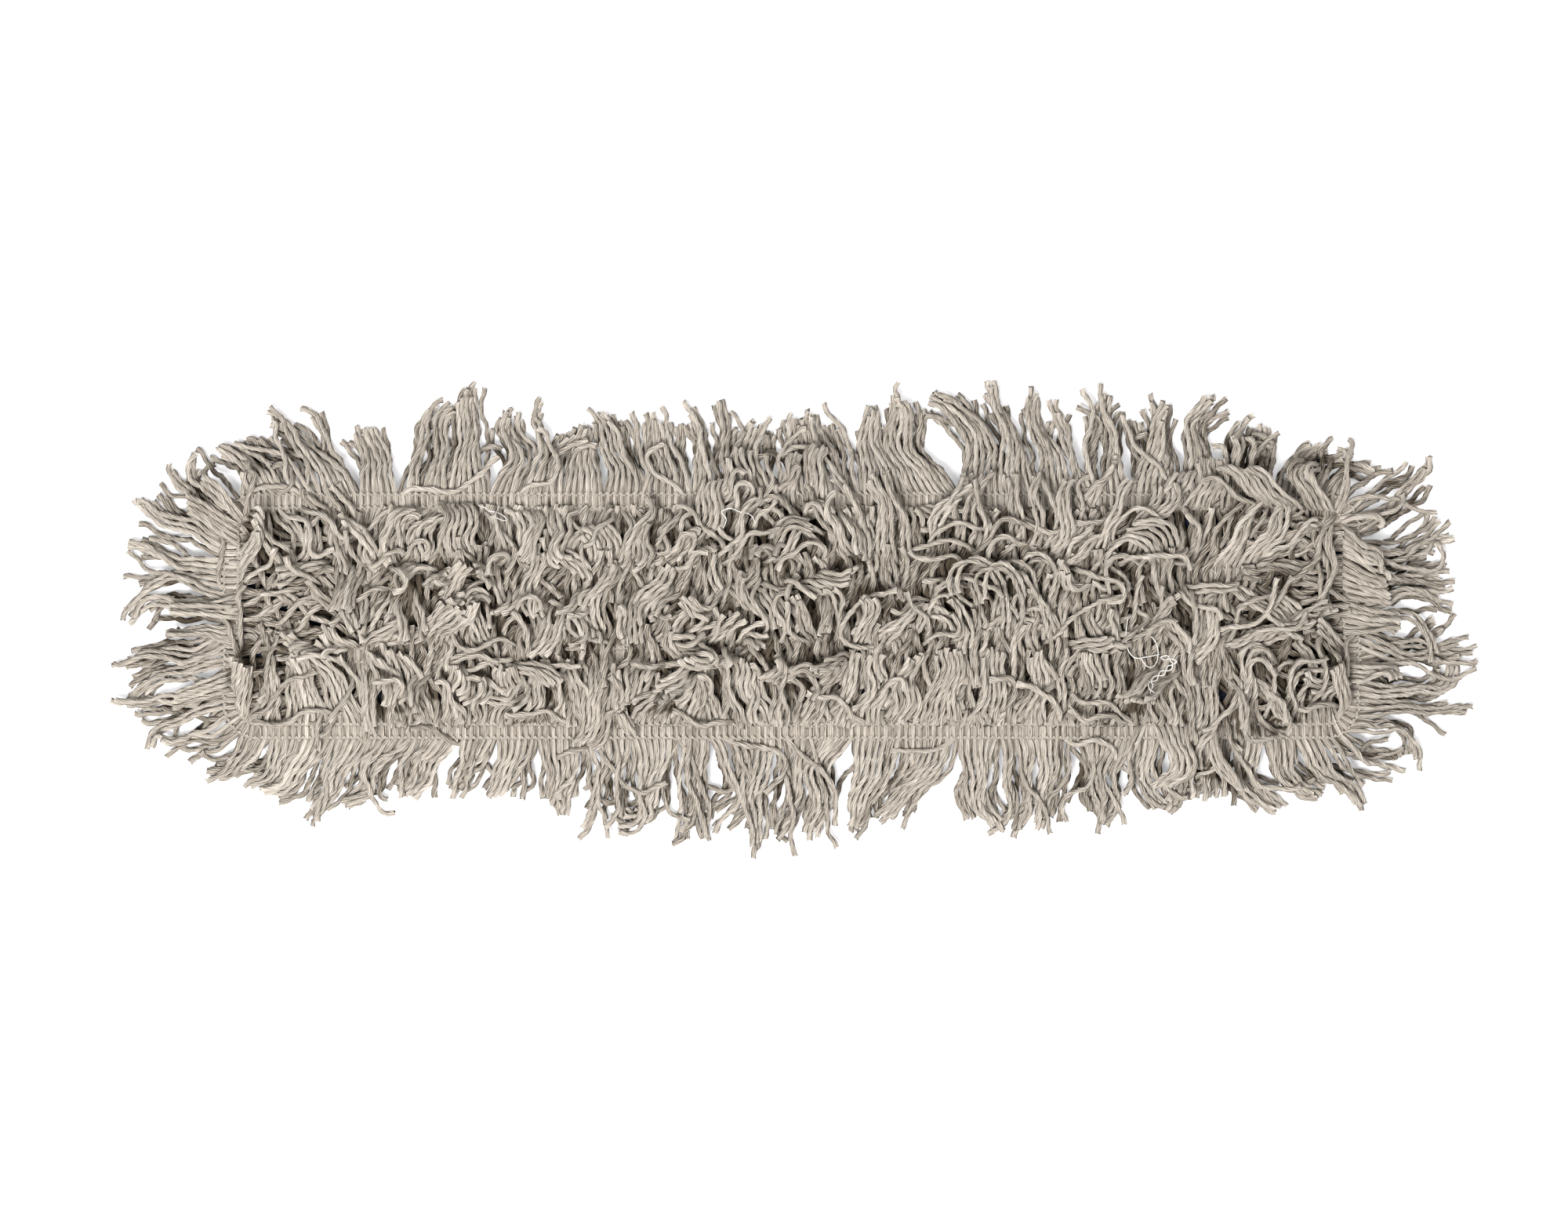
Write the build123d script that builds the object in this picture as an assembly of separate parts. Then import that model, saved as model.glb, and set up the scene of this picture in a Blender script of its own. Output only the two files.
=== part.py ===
from build123d import *
import os
from math import cos, pi, radians, sin

# A cut-end dust mop head for a wire frame of 24 by 5 inches, lying on its back with the yarn up.
# +X runs along the head and +Z points up, out of the yarn. The origin is on the floor below the
# middle. The head folds across the middle, so what crosses the fold is made in two halves.

# Driving dimensions, in millimetres and degrees
FRAME_LENGTH = 609.6  # the wire frame that the pockets take
FRAME_WIDTH = 127.0
FRAME_PLAY = 0.3  # room between the frame and a pocket's wall
POCKET_HEIGHT = 8.0  # clear height inside a pocket
POCKET_DEPTH = 215.0  # from a pocket's mouth to its end wall
MOUTH_HEM = 12.0  # width of the doubled edge at a pocket's mouth
CANVAS = 1.2  # thickness of the cloth
SEAM_ALLOWANCE = 3.0  # width of the flange by which a pocket is sewn on
CORNER_RADIUS = 20.0  # corners of the backing
FOLD_GAP = 0.6  # between the two halves, at the fold

YARN = 3.2  # thickness of a strand
STRAND_WIDTH = 4.5  # width of a strand, where two yarns lie side by side
HEADER = 11.0  # width of a header, where the strands lie flat under the stitching
HEADER_COVER = 0.15  # how much a header stands over and under its strands
HEADER_GAP = 0.5  # between the headers where they meet at a corner
INNER_ROW = 21.5  # from the middle line to the middle of an inner row
ROOT_DEPTH = 2.0  # how far a strand starts inside its header

PILE_PITCH = 14.0  # from strand to strand along a row
OUTER_PHASE = 0.25  # share of the pitch at which an outer row starts
INNER_PHASE = 0.75  # share of the pitch at which an inner row starts
PILE_REACH = 36.0  # how far a strand of the pile leans from its header
PILE_RISE = 20.0  # how high it climbs
PILE_SPACE = 6.0  # between the pile of an end row and the first strands of the long rows
CENTRE_SPACE = 2.0  # between the pile of an inner row and the middle line

BEAD_COVER = 0.5  # how much the rolled edge, along which the fringe swings, covers its strands
BEAD_END = 0.7  # bare length of the rolled edge past its last strand
BEAD_SIDES = 8
FRINGE_ROOT = 1.3  # from the middle of the rolled edge to where its strands start
SWING_GAP = 0.3  # between the rolled edge and the backing
FRINGE_PITCH = 6.2
FRINGE_REACH = 60.0  # from the rolled edge to the longest tips
FRINGE_RAG = 8.0  # how much shorter the shortest strands are
FRINGE_SAG = 7.0  # how far a strand has dropped where it bends
FLOOR_GAP = 0.3  # under the tips
LOCK_SPAN = 145.0  # length of fringe over which the strands draw together and part again
LOCK_LEAN = 5.0
CORNER_SPAN = 60.0  # length of fringe that turns towards the corner
CORNER_LEAN = 40.0
END_FAN = 36.0  # lean of the outermost strands along an end
CORNER_LEANS = (43.0, 50.0, 57.0)  # strands that fill the corner beside them

STITCH_WIDTH = 1.2
STITCH_HEIGHT = 0.8
STITCH_GAP = 0.1  # between a stitch line and the roots of the strands

# Shape of a strand of the pile, in shares of its reach and of its rise
PILE_SHAPE = ((0.0, 0.0), (0.35, 0.62), (0.75, 1.0), (1.0, 0.88))
FRINGE_BEND = 0.4  # share of its reach at which a strand of the fringe bends

# Places that follow from them
wall_half_length = FRAME_LENGTH / 2 + FRAME_PLAY + CANVAS
wall_half_width = FRAME_WIDTH / 2 + FRAME_PLAY + CANVAS
half_length = wall_half_length + SEAM_ALLOWANCE
half_width = wall_half_width + SEAM_ALLOWANCE
straight_half_length = half_length - CORNER_RADIUS
straight_half_width = half_width - CORNER_RADIUS
mouth = wall_half_length - CANVAS - POCKET_DEPTH
fold = FOLD_GAP / 2
back_under = CANVAS + POCKET_HEIGHT
back_top = back_under + CANVAS
yarn_middle = back_top + HEADER_COVER + YARN / 2
header_top = yarn_middle + YARN / 2 + HEADER_COVER
pile_end = half_length - HEADER - PILE_REACH - PILE_SPACE
end_row_half = half_width - HEADER - HEADER_GAP
bead_radius = YARN / 2 + BEAD_COVER
bead_offset = SWING_GAP + bead_radius
stitch_offset = HEADER / 2 - ROOT_DEPTH - STITCH_GAP - STITCH_WIDTH / 2


def slab(length, width, radius, bottom, height):
    """A flat block with rounded corners, centred on the head."""
    return Pos(0, 0, bottom) * extrude(RectangleRounded(length, width, radius), height)


def block(x, y, z):
    """A block between two values along each axis."""
    size = [high - low for low, high in (x, y, z)]
    middle = [(high + low) / 2 for low, high in (x, y, z)]
    return Pos(*middle) * Box(*size)


def right_of(start):
    """The room of the head's right half, from a distance along it to its end."""
    return block((start, half_length), (-half_width, half_width), (0, header_top))


def backing():
    """Half of the canvas that carries the yarn, a flat sheet with rounded corners."""
    sheet = slab(2 * half_length, 2 * half_width, CORNER_RADIUS, back_under, CANVAS)
    return sheet & right_of(fold)


def pocket():
    """A canvas pocket for one end of the frame: a tray sewn on by a flange, with a hemmed mouth."""
    wall_corner = CORNER_RADIUS - SEAM_ALLOWANCE
    outside = slab(2 * wall_half_length, 2 * wall_half_width, wall_corner, 0, back_under)
    flange = slab(2 * half_length, 2 * half_width, CORNER_RADIUS, back_under - CANVAS, CANVAS)
    room_length = 2 * (wall_half_length - CANVAS)
    room_width = 2 * (wall_half_width - CANVAS)
    room = slab(room_length, room_width, wall_corner - CANVAS, CANVAS, POCKET_HEIGHT)
    hem = block(
        (mouth, mouth + MOUTH_HEM),
        (-wall_half_width + CANVAS / 2, wall_half_width - CANVAS / 2),
        (CANVAS / 2, 2 * CANVAS),
    )
    return ((outside + flange - room) & right_of(mouth)) + hem


def pocket_seam():
    """The thread under a pocket's flange: a line along each side and one across the end."""
    z = (back_under - CANVAS - STITCH_HEIGHT, back_under - CANVAS)
    near = STITCH_WIDTH / 2
    side = half_width - SEAM_ALLOWANCE / 2
    end = half_length - SEAM_ALLOWANCE / 2
    rear = block((mouth, straight_half_length), (side - near, side + near), z)
    front = block((mouth, straight_half_length), (-side - near, -side + near), z)
    across = block((end - near, end + near), (-straight_half_width, straight_half_width), z)
    return Compound(children=[rear, front, across])


def ribbon(points, thickness):
    """The outline of a bar along a line of points, mitred where the line bends."""
    before = points[:1] + points[:-1]
    after = points[1:] + points[-1:]
    upper = []
    lower = []
    for (x0, y0), (x, y), (x1, y1) in zip(before, points, after):
        into = Vector(x - x0, y - y0)
        out = Vector(x1 - x, y1 - y)
        normals = [Vector(-d.Y, d.X).normalized() for d in (into, out) if d.length > 0]
        mitre = sum(normals, Vector()) / len(normals)
        offset = mitre * (thickness / 2 / mitre.length**2)
        upper.append((x + offset.X, y + offset.Y))
        lower.append((x - offset.X, y - offset.Y))
    return upper + lower[::-1]


def strand(x, y, heading, points):
    """A cut strand that starts over x, y and follows points of distance and height one way."""
    ahead = Vector(cos(radians(heading)), sin(radians(heading)), 0)
    upright = Plane(origin=(x, y, yarn_middle), x_dir=ahead, z_dir=(ahead.Y, -ahead.X, 0))
    outline = Polyline(*ribbon(points, YARN), close=True)
    return extrude(upright * make_face(outline), STRAND_WIDTH / 2, both=True)


def pile_points(reach):
    """The line of a strand of the pile: out of its header, up, over and down at its cut end."""
    climb = [(ROOT_DEPTH + reach * along, PILE_RISE * up) for along, up in PILE_SHAPE]
    return [(0.0, 0.0)] + climb


def fringe_points(reach):
    """The line of a strand of the fringe: it drops to the floor and lies along it."""
    tip = YARN / 2 + FLOOR_GAP - yarn_middle
    return [(FRINGE_ROOT, 0.0), (reach * FRINGE_BEND, -FRINGE_SAG), (reach, tip)]


def steps(start, stop, pitch):
    """Places one pitch apart, from start up to stop."""
    return [start + pitch * i for i in range(int((stop - start) / pitch) + 1)]


def centred_steps(half_span, pitch):
    """Places one pitch apart on both sides of zero, within a half span."""
    count = int(half_span / pitch)
    return [pitch * i for i in range(-count, count + 1)]


def row_steps(phase):
    """Distances from the fold at which a long row has strands. Rows side by side differ in phase."""
    return steps(fold + phase * PILE_PITCH, pile_end - STRAND_WIDTH / 2, PILE_PITCH)


def header(x, y):
    """The flat band of a row over a span of the backing, trimmed to the backing's corners."""
    outline = slab(2 * half_length, 2 * half_width, CORNER_RADIUS, back_top, header_top - back_top)
    return block(x, y, (back_top, header_top)) & outline


def outer_row():
    """A long header at the backing's rear edge, with the inner halves of its strands."""
    inner_edge = half_width - HEADER
    band = header((fold, half_length), (inner_edge, half_width))
    root = inner_edge + ROOT_DEPTH
    points = pile_points(PILE_REACH)
    return band + [strand(x, root, -90, points) for x in row_steps(OUTER_PHASE)]


def inner_row():
    """A header between the rear edge and the middle, with strands that lean to both sides of it."""
    band = header((fold, pile_end), (INNER_ROW - HEADER / 2, INNER_ROW + HEADER / 2))
    root = HEADER / 2 - ROOT_DEPTH
    outer = pile_points(PILE_REACH)
    centre = pile_points(INNER_ROW - HEADER / 2 - CENTRE_SPACE)
    places = row_steps(INNER_PHASE)
    to_edge = [strand(x, INNER_ROW + root, 90, outer) for x in places]
    to_middle = [strand(x, INNER_ROW - root, -90, centre) for x in places]
    return band + to_edge + to_middle


def end_row():
    """The short header across the right end, with the inner halves of its strands."""
    inner_edge = half_length - HEADER
    band = header((inner_edge, half_length), (-end_row_half, end_row_half))
    places = centred_steps(end_row_half - STRAND_WIDTH / 2, PILE_PITCH)
    points = pile_points(PILE_REACH)
    return band + [strand(inner_edge + ROOT_DEPTH, y, 180, points) for y in places]


def rolled_edge(section, length):
    """An eight-sided bar, drawn on a plane through the origin and run along the plane's normal."""
    return extrude(section * RegularPolygon(bead_radius, BEAD_SIDES, rotation=180 / BEAD_SIDES), length)


def side_fringe(half):
    """The outer halves of the rear row's strands, on the rolled edge along which they swing.

    half is 1 for the right half of the head and -1 for the left.
    """
    y = half_width + bead_offset
    length = straight_half_length - fold
    start = fold if half > 0 else -straight_half_length
    bead = Pos(start, y, yarn_middle) * rolled_edge(Plane.YZ, length)
    margin = STRAND_WIDTH / 2 + BEAD_END
    strands = []
    for x in steps(fold + margin, straight_half_length - margin, FRINGE_PITCH):
        wave = sin(2 * pi * x / LOCK_SPAN)
        turn = max(0.0, 1 - (straight_half_length - x) / CORNER_SPAN)
        lean = LOCK_LEAN * wave + CORNER_LEAN * turn**2
        points = fringe_points(FRINGE_REACH - FRINGE_RAG * wave**2)
        strands.append(strand(half * x, y, 90 - half * lean, points))
    return bead + strands


def end_fringe():
    """The outer halves of the right end row's strands, which fan out round the corners."""
    x = half_length + bead_offset
    bead = Pos(x, straight_half_width, yarn_middle) * rolled_edge(Plane.XZ, 2 * straight_half_width)
    last = straight_half_width - STRAND_WIDTH / 2 - BEAD_END
    fan = [(y, END_FAN * y / last) for y in centred_steps(last, FRINGE_PITCH)]
    rear_corner = [(last, lean) for lean in CORNER_LEANS]
    front_corner = [(-last, -lean) for lean in CORNER_LEANS]
    points = fringe_points(FRINGE_REACH)
    return bead + [strand(x, y, lean, points) for y, lean in fan + rear_corner + front_corner]


def long_seam(y, stop):
    """The two lines of thread along a long header, from the fold to a distance along it."""
    z = (header_top, header_top + STITCH_HEIGHT)
    lines = []
    for middle in (y - stitch_offset, y + stitch_offset):
        lines.append(block((fold, stop), (middle - STITCH_WIDTH / 2, middle + STITCH_WIDTH / 2), z))
    return Compound(children=lines)


def end_seam():
    """The two lines of thread across the right end."""
    y = (-straight_half_width, straight_half_width)
    z = (header_top, header_top + STITCH_HEIGHT)
    header_middle = half_length - HEADER / 2
    lines = []
    for middle in (header_middle - stitch_offset, header_middle + stitch_offset):
        lines.append(block((middle - STITCH_WIDTH / 2, middle + STITCH_WIDTH / 2), y, z))
    return Compound(children=lines)


right_pieces = {
    "backing": backing(),
    "pocket": pocket(),
    "pocket_seam": pocket_seam(),
    "end_row": end_row(),
    "end_fringe": end_fringe(),
    "end_seam": end_seam(),
}
rear_right_pieces = {
    "row": outer_row(),
    "seam": long_seam(half_width - HEADER / 2, straight_half_length),
    "inner_row": inner_row(),
    "inner_seam": long_seam(INNER_ROW, pile_end),
}
rear_pairs = {name: (shape, mirror(shape, Plane.YZ)) for name, shape in rear_right_pieces.items()}
rear_pairs["fringe"] = (side_fringe(1), side_fringe(-1))

# Half a turn about the upright axis brings each piece to the other end and the other side
half_turn = Rot(0, 0, 180)
pieces = {}
for name, right in right_pieces.items():
    pieces[f"{name}_right"] = right
    pieces[f"{name}_left"] = half_turn * right
for name, (right, left) in rear_pairs.items():
    pieces[f"rear_{name}_right"] = right
    pieces[f"rear_{name}_left"] = left
    pieces[f"front_{name}_right"] = half_turn * left
    pieces[f"front_{name}_left"] = half_turn * right

os.makedirs("parts", exist_ok=True)
for name, shape in pieces.items():
    export_step(shape, f"parts/{name}.step")
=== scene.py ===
import math

import bpy
import numpy as np
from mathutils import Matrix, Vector


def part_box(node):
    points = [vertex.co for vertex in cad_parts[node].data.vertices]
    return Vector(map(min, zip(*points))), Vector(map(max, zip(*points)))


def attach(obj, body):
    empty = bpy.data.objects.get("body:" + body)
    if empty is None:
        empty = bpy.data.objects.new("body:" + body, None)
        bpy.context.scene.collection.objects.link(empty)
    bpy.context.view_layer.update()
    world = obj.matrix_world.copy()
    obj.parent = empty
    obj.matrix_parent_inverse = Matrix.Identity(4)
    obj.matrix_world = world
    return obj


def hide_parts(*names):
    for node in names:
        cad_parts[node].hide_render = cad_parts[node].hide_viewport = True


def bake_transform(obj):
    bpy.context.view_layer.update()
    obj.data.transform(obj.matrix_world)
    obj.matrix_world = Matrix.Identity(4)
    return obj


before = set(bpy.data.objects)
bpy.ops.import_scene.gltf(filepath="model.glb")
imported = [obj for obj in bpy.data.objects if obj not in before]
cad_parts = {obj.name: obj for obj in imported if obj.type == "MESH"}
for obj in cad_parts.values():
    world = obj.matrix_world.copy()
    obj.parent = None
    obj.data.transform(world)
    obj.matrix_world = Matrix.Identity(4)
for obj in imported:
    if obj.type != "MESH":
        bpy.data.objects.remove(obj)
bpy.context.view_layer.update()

# Canvas backing
# A sheet of heavy navy cotton canvas with rounded corners, sized for a frame of 24 by 5 inches.
# All the yarn is sewn to its upper side, and its points lie closer across its middle, where the head folds.
backing_low, backing_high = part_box("backing_right")
HALF_LENGTH = backing_high.x
HALF_WIDTH = backing_high.y
BACK_UNDER = backing_low.z
BACK_TOP = backing_high.z
CANVAS = BACK_TOP - BACK_UNDER
CORNER_RADIUS = 0.020
FOLD_REACH = 0.014  # half of the length of canvas that bends in the fold
CANVAS_THREAD = 0.0011
NAVY = (0.008, 0.010, 0.021)
NAVY_WORN = (0.014, 0.017, 0.032)


def mesh_object(name, points, quads, uvs=None, attributes=None, normals=None):
    """A smooth mesh from arrays of points and of quads, with a UV for each corner of each quad and, where a
    strand is cut into pieces, the normals it has as a whole."""
    mesh = bpy.data.meshes.new(name)
    mesh.vertices.add(len(points))
    mesh.vertices.foreach_set("co", np.ascontiguousarray(points, np.float32).ravel())
    mesh.loops.add(quads.size)
    mesh.loops.foreach_set("vertex_index", np.ascontiguousarray(quads, np.int32).ravel())
    mesh.polygons.add(len(quads))
    mesh.polygons.foreach_set("loop_start", np.arange(0, quads.size, 4, dtype=np.int32))
    mesh.polygons.foreach_set("use_smooth", np.ones(len(quads), bool))
    if uvs is not None:
        layer = mesh.uv_layers.new(name="thread")
        layer.data.foreach_set("uv", np.ascontiguousarray(uvs, np.float32).ravel())
    for key, values in (attributes or {}).items():
        attribute = mesh.attributes.new(key, "FLOAT", "POINT")
        attribute.data.foreach_set("value", np.ascontiguousarray(values, np.float32))
    mesh.update(calc_edges=True)
    mesh.validate()
    if normals is not None:
        mesh.normals_split_custom_set_from_vertices(normals)
    made = bpy.data.objects.new(name, mesh)
    bpy.context.scene.collection.objects.link(made)
    return made


def grid_quads(rows, columns, closed=False):
    """Quads of a grid of points, row by row. A closed grid joins its last column to its first."""
    row = np.arange(rows - 1)[:, None] * columns
    column = np.arange(columns if closed else columns - 1)[None]
    after = (column + 1) % columns
    corners = [row + column, row + after, row + columns + after, row + columns + column]
    return np.stack(np.broadcast_arrays(*corners), axis=-1).reshape(-1, 4)


def smooth_step(value):
    """Rises from 0 to 1 between 0 and 1, level at both ends."""
    t = np.clip(value, 0.0, 1.0)
    return t * t * (3 - 2 * t)


def backing_width(x):
    """Half the backing's width at a distance along it: full, then round at the corners."""
    into_corner = np.clip(np.abs(x) - (HALF_LENGTH - CORNER_RADIUS), 0, CORNER_RADIUS)
    return HALF_WIDTH - CORNER_RADIUS + np.sqrt(CORNER_RADIUS**2 - into_corner**2)


def node_adder(tree):
    """A function that adds a node to a tree, with a link or a value for each input that is named."""

    def add(kind, inputs=None, **settings):
        node = tree.nodes.new(kind)
        for key, value in settings.items():
            setattr(node, key, value)
        for key, value in (inputs or {}).items():
            if isinstance(value, bpy.types.NodeSocket):
                tree.links.new(value, node.inputs[key])
            else:
                node.inputs[key].default_value = value
        return node

    return add


def new_material(name, finish):
    """A node material with its shader's finish set: itself, its tree, its shader and its adder of nodes."""
    material = bpy.data.materials.new(name)
    material.use_nodes = True
    tree = material.node_tree
    shader = tree.nodes["Principled BSDF"]
    for key, value in finish.items():
        shader.inputs[key].default_value = value
    return material, tree, shader, node_adder(tree)


def colour_ramp(add, factor, first, last, between=()):
    """Colours at places along a factor, each given as its place and its colour."""
    node = add("ShaderNodeValToRGB", {"Fac": factor})
    elements = node.color_ramp.elements
    for number, (place, colour) in enumerate((first, last)):
        elements[number].position = place
        elements[number].color = (*colour, 1)
    for place, colour in between:
        elements.new(place).color = (*colour, 1)
    return node.outputs["Color"]


def canvas_material(name, dark, pale, thread):
    """Plain weave: two waves of threads cross, and a checker says which of them lies on top."""
    finish = {"Roughness": 0.9, "Specular IOR Level": 0.2, "Sheen Weight": 0.1}
    material, tree, shader, add = new_material(name, finish)
    place = add("ShaderNodeTexCoord").outputs["Object"]
    checks = add("ShaderNodeTexChecker", {"Vector": place, "Scale": 1 / thread})
    waves = {"Vector": place, "Scale": 1 / (2 * thread) * math.pi / 10}
    across, along = (add("ShaderNodeTexWave", waves, bands_direction=axis).outputs["Fac"] for axis in "XY")
    weave = add("ShaderNodeMix", {0: checks.outputs["Fac"], 2: across, 3: along})
    wear = add("ShaderNodeTexNoise", {"Vector": place, "Scale": 38.0, "Detail": 6.0, "Roughness": 0.7})
    slub = add("ShaderNodeTexNoise", {"Vector": place, "Scale": 900.0, "Detail": 2.0})
    shade = add("ShaderNodeMath", {0: wear.outputs["Fac"], 1: weave.outputs[0]}, operation="MULTIPLY")
    speck = add("ShaderNodeMath", {0: shade.outputs[0], 1: slub.outputs["Fac"]}, operation="MULTIPLY")
    colour = colour_ramp(add, speck.outputs[0], (0.02, dark), (0.42, pale))
    bump = add("ShaderNodeBump", {"Height": weave.outputs[0], "Strength": 0.5, "Distance": 0.0004})
    tree.links.new(colour, shader.inputs["Base Color"])
    tree.links.new(bump.outputs["Normal"], shader.inputs["Normal"])
    return material


def canvas_sheet(name, grid):
    """A sheet of canvas from a grid of points, with half of its thickness to each side of them."""
    piece = mesh_object(name, grid.reshape(-1, 3), grid_quads(*grid.shape[:2]))
    cloth = piece.modifiers.new("thickness", "SOLIDIFY")
    cloth.thickness = CANVAS
    cloth.offset = 0.0
    piece.data.materials.append(navy_canvas)
    return piece


navy_canvas = canvas_material("navy_canvas", NAVY, NAVY_WORN, CANVAS_THREAD)

along = np.concatenate([
    -HALF_LENGTH + CORNER_RADIUS * (1 - np.cos(np.linspace(0, math.pi / 2, 9)[:-1])),
    np.linspace(-HALF_LENGTH + CORNER_RADIUS, -2 * FOLD_REACH, 40)[:-1],
    np.linspace(-2 * FOLD_REACH, 2 * FOLD_REACH, 33),
    np.linspace(2 * FOLD_REACH, HALF_LENGTH - CORNER_RADIUS, 40)[1:],
    HALF_LENGTH - CORNER_RADIUS * (1 - np.cos(np.linspace(math.pi / 2, 0, 9)[1:])),
])
across = np.linspace(-1, 1, 25)
sheet = np.zeros((len(along), len(across), 3))
sheet[..., 0] = along[:, None]
sheet[..., 1] = backing_width(along)[:, None] * across
sheet[..., 2] = (BACK_UNDER + BACK_TOP) / 2
backing = canvas_sheet("canvas_backing", sheet)
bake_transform(backing)
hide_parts("backing_left", "backing_right")

# Pockets
# Trays of the same canvas, sewn under the two ends of the backing by a narrow flange. The ends of the
# wire frame slip into them from the middle, through mouths that are hemmed with a folded band.
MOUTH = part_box("pocket_right")[0].x
FLANGE = 0.003
WALL = 0.0012
WALL_START = 0.0028  # from the outline to where the wall starts to come down
WALL_SLOPE = 0.0014
RIPPLE = 0.0003  # of the bottom
BAND_SIDES = 24
HEM = 0.012


def edge_depth(x, y):
    """How far inside the backing's outline a place lies."""
    past_x = np.abs(x) - (HALF_LENGTH - CORNER_RADIUS)
    past_y = np.abs(y) - (HALF_WIDTH - CORNER_RADIUS)
    round_part = np.hypot(np.maximum(past_x, 0), np.maximum(past_y, 0))
    return CORNER_RADIUS - round_part - np.minimum(np.maximum(past_x, past_y), 0)


def pocket_surface():
    """A grid from the mouth to the end and from side to side, closer near the edges. Its height follows the
    depth inside the outline: flat flange, steep wall, flat bottom with a faint ripple."""
    near = np.array([0.0, 0.0010, 0.0020, 0.0027, 0.0031, 0.0034, 0.0037, 0.0041, 0.0047, 0.006, 0.010])
    rest = np.linspace(MOUTH, HALF_LENGTH - CORNER_RADIUS, 30)
    corner = np.linspace(HALF_LENGTH - CORNER_RADIUS, HALF_LENGTH - near[-1], 7)[1:-1]
    x = np.concatenate([rest, corner, HALF_LENGTH - near[::-1]])[:, None]
    side = near / HALF_WIDTH - 1
    share = np.concatenate([side, np.linspace(side[-1], -side[-1], 17)[1:-1], -side[::-1]])
    y = backing_width(x) * share
    x = np.broadcast_to(x, y.shape)
    depth = edge_depth(x, y)
    height = BACK_UNDER - CANVAS / 2 - (BACK_UNDER - CANVAS) * smooth_step((depth - WALL_START) / WALL_SLOPE)
    ripple = RIPPLE * np.sin(x / 0.021 + y / 0.047) * smooth_step((depth - 0.008) / 0.02)
    return np.stack([x, y, height + np.abs(ripple)], axis=-1)


def stadium_band(path, width, height):
    """A flat band with round edges along a straight path, drawn shut at both ends: a folded hem."""
    turn = np.linspace(0, 2 * math.pi, BAND_SIDES, endpoint=False)
    flat = np.sign(np.cos(turn)) * (width - height) / 2
    out, up = np.cos(turn) * height / 2, np.sin(turn) * height / 2
    profile = np.stack([flat + out, np.zeros(BAND_SIDES), up], axis=-1)
    path = path[[0, *range(len(path)), -1]]
    size = np.ones(len(path))
    size[[0, -1]] = 0.0
    return path[:, None] + size[:, None, None] * profile


tray = pocket_surface()
hem_path = np.zeros((21, 3))
hem_path[:, 0] = MOUTH + HEM / 2
hem_path[:, 1] = np.linspace(-1, 1, 21) * (HALF_WIDTH - FLANGE - WALL)
hem_path[:, 2] = 1.5 * CANVAS
band = stadium_band(hem_path, HEM, CANVAS)
for side, sign in (("right", 1), ("left", -1)):
    turned = np.array([sign, sign, 1])
    pocket = canvas_sheet(f"canvas_pocket_{side}", tray * turned)
    hem_quads = grid_quads(*band.shape[:2], closed=True)
    hem = mesh_object(f"pocket_hem_{side}", (band * turned).reshape(-1, 3), hem_quads)
    hem.data.materials.append(navy_canvas)
    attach(pocket, f"{side}_half")
    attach(hem, f"{side}_half")
    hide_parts(f"pocket_{side}")

# Yarn
# Cut strands of soft cotton yarn, twisted from three plies and dyed a warm grey. Each lies across a header
# and is sewn down at its middle, so one half is fringe or pile to one side and one half to the other.
# The strands fall into locks, and their places come from letting them settle on each other.
rng = np.random.default_rng(7)
YARN = 0.0030
PITCH = 0.0037  # along a header, from strand to strand of the upper of its two layers
INNER_PITCH = 0.0030
LAYER_RISE = 0.0007  # how far the layers lie above and below the middle of the header
HEADER_INSET = 0.0055  # from the backing's edge to the middle of an outer header
INNER_ROW = 0.0215  # from the middle line to an inner header
INNER_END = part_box("rear_inner_row_right")[1].x
SWING_AXIS = 0.0079  # from an outer header's middle to the line about which its fringe swings
FREE_START = 0.0054  # from a header's middle to where its pile is free
END_TURN = np.radians(50)  # part of each corner that belongs to the end row
HEADER_HEIGHT = BACK_TOP + 0.0021  # between the two layers of a header
STITCH_OFFSET = 0.0036  # from a header's middle to either line of stitches
FREE_POINTS = 20  # of each half strand
DROP_SHARE = 0.85  # of the fringe's length, over which it comes down to the floor
PILE_STEP = 0.0029  # between the points of a half strand of the usual length
STRAY_FRINGE = 0.12  # share of strands that have left their lock
STRAY_PILE = 0.18
SHORT_FRINGE = 0.032
LONG_FRINGE = 0.066
LOWER_FRINGE = 0.86  # length of the lower layer, as a share of the upper one's
corner_turn = CORNER_RADIUS - HEADER_INSET


def loop_place(distance):
    """A quarter of the outer header: up the end from the middle line, round the corner, to the middle."""
    end = HALF_WIDTH - CORNER_RADIUS
    arc = corner_turn * math.pi / 2
    angle = np.clip((distance - end) / corner_turn, 0, math.pi / 2)
    back = np.clip(distance - end - arc, 0, None)
    x = HALF_LENGTH - CORNER_RADIUS + corner_turn * np.cos(angle) - back
    y = np.minimum(distance, end) + corner_turn * np.sin(angle)
    return np.stack([x, y], axis=-1), np.stack([np.cos(angle), np.sin(angle)], axis=-1)


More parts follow.
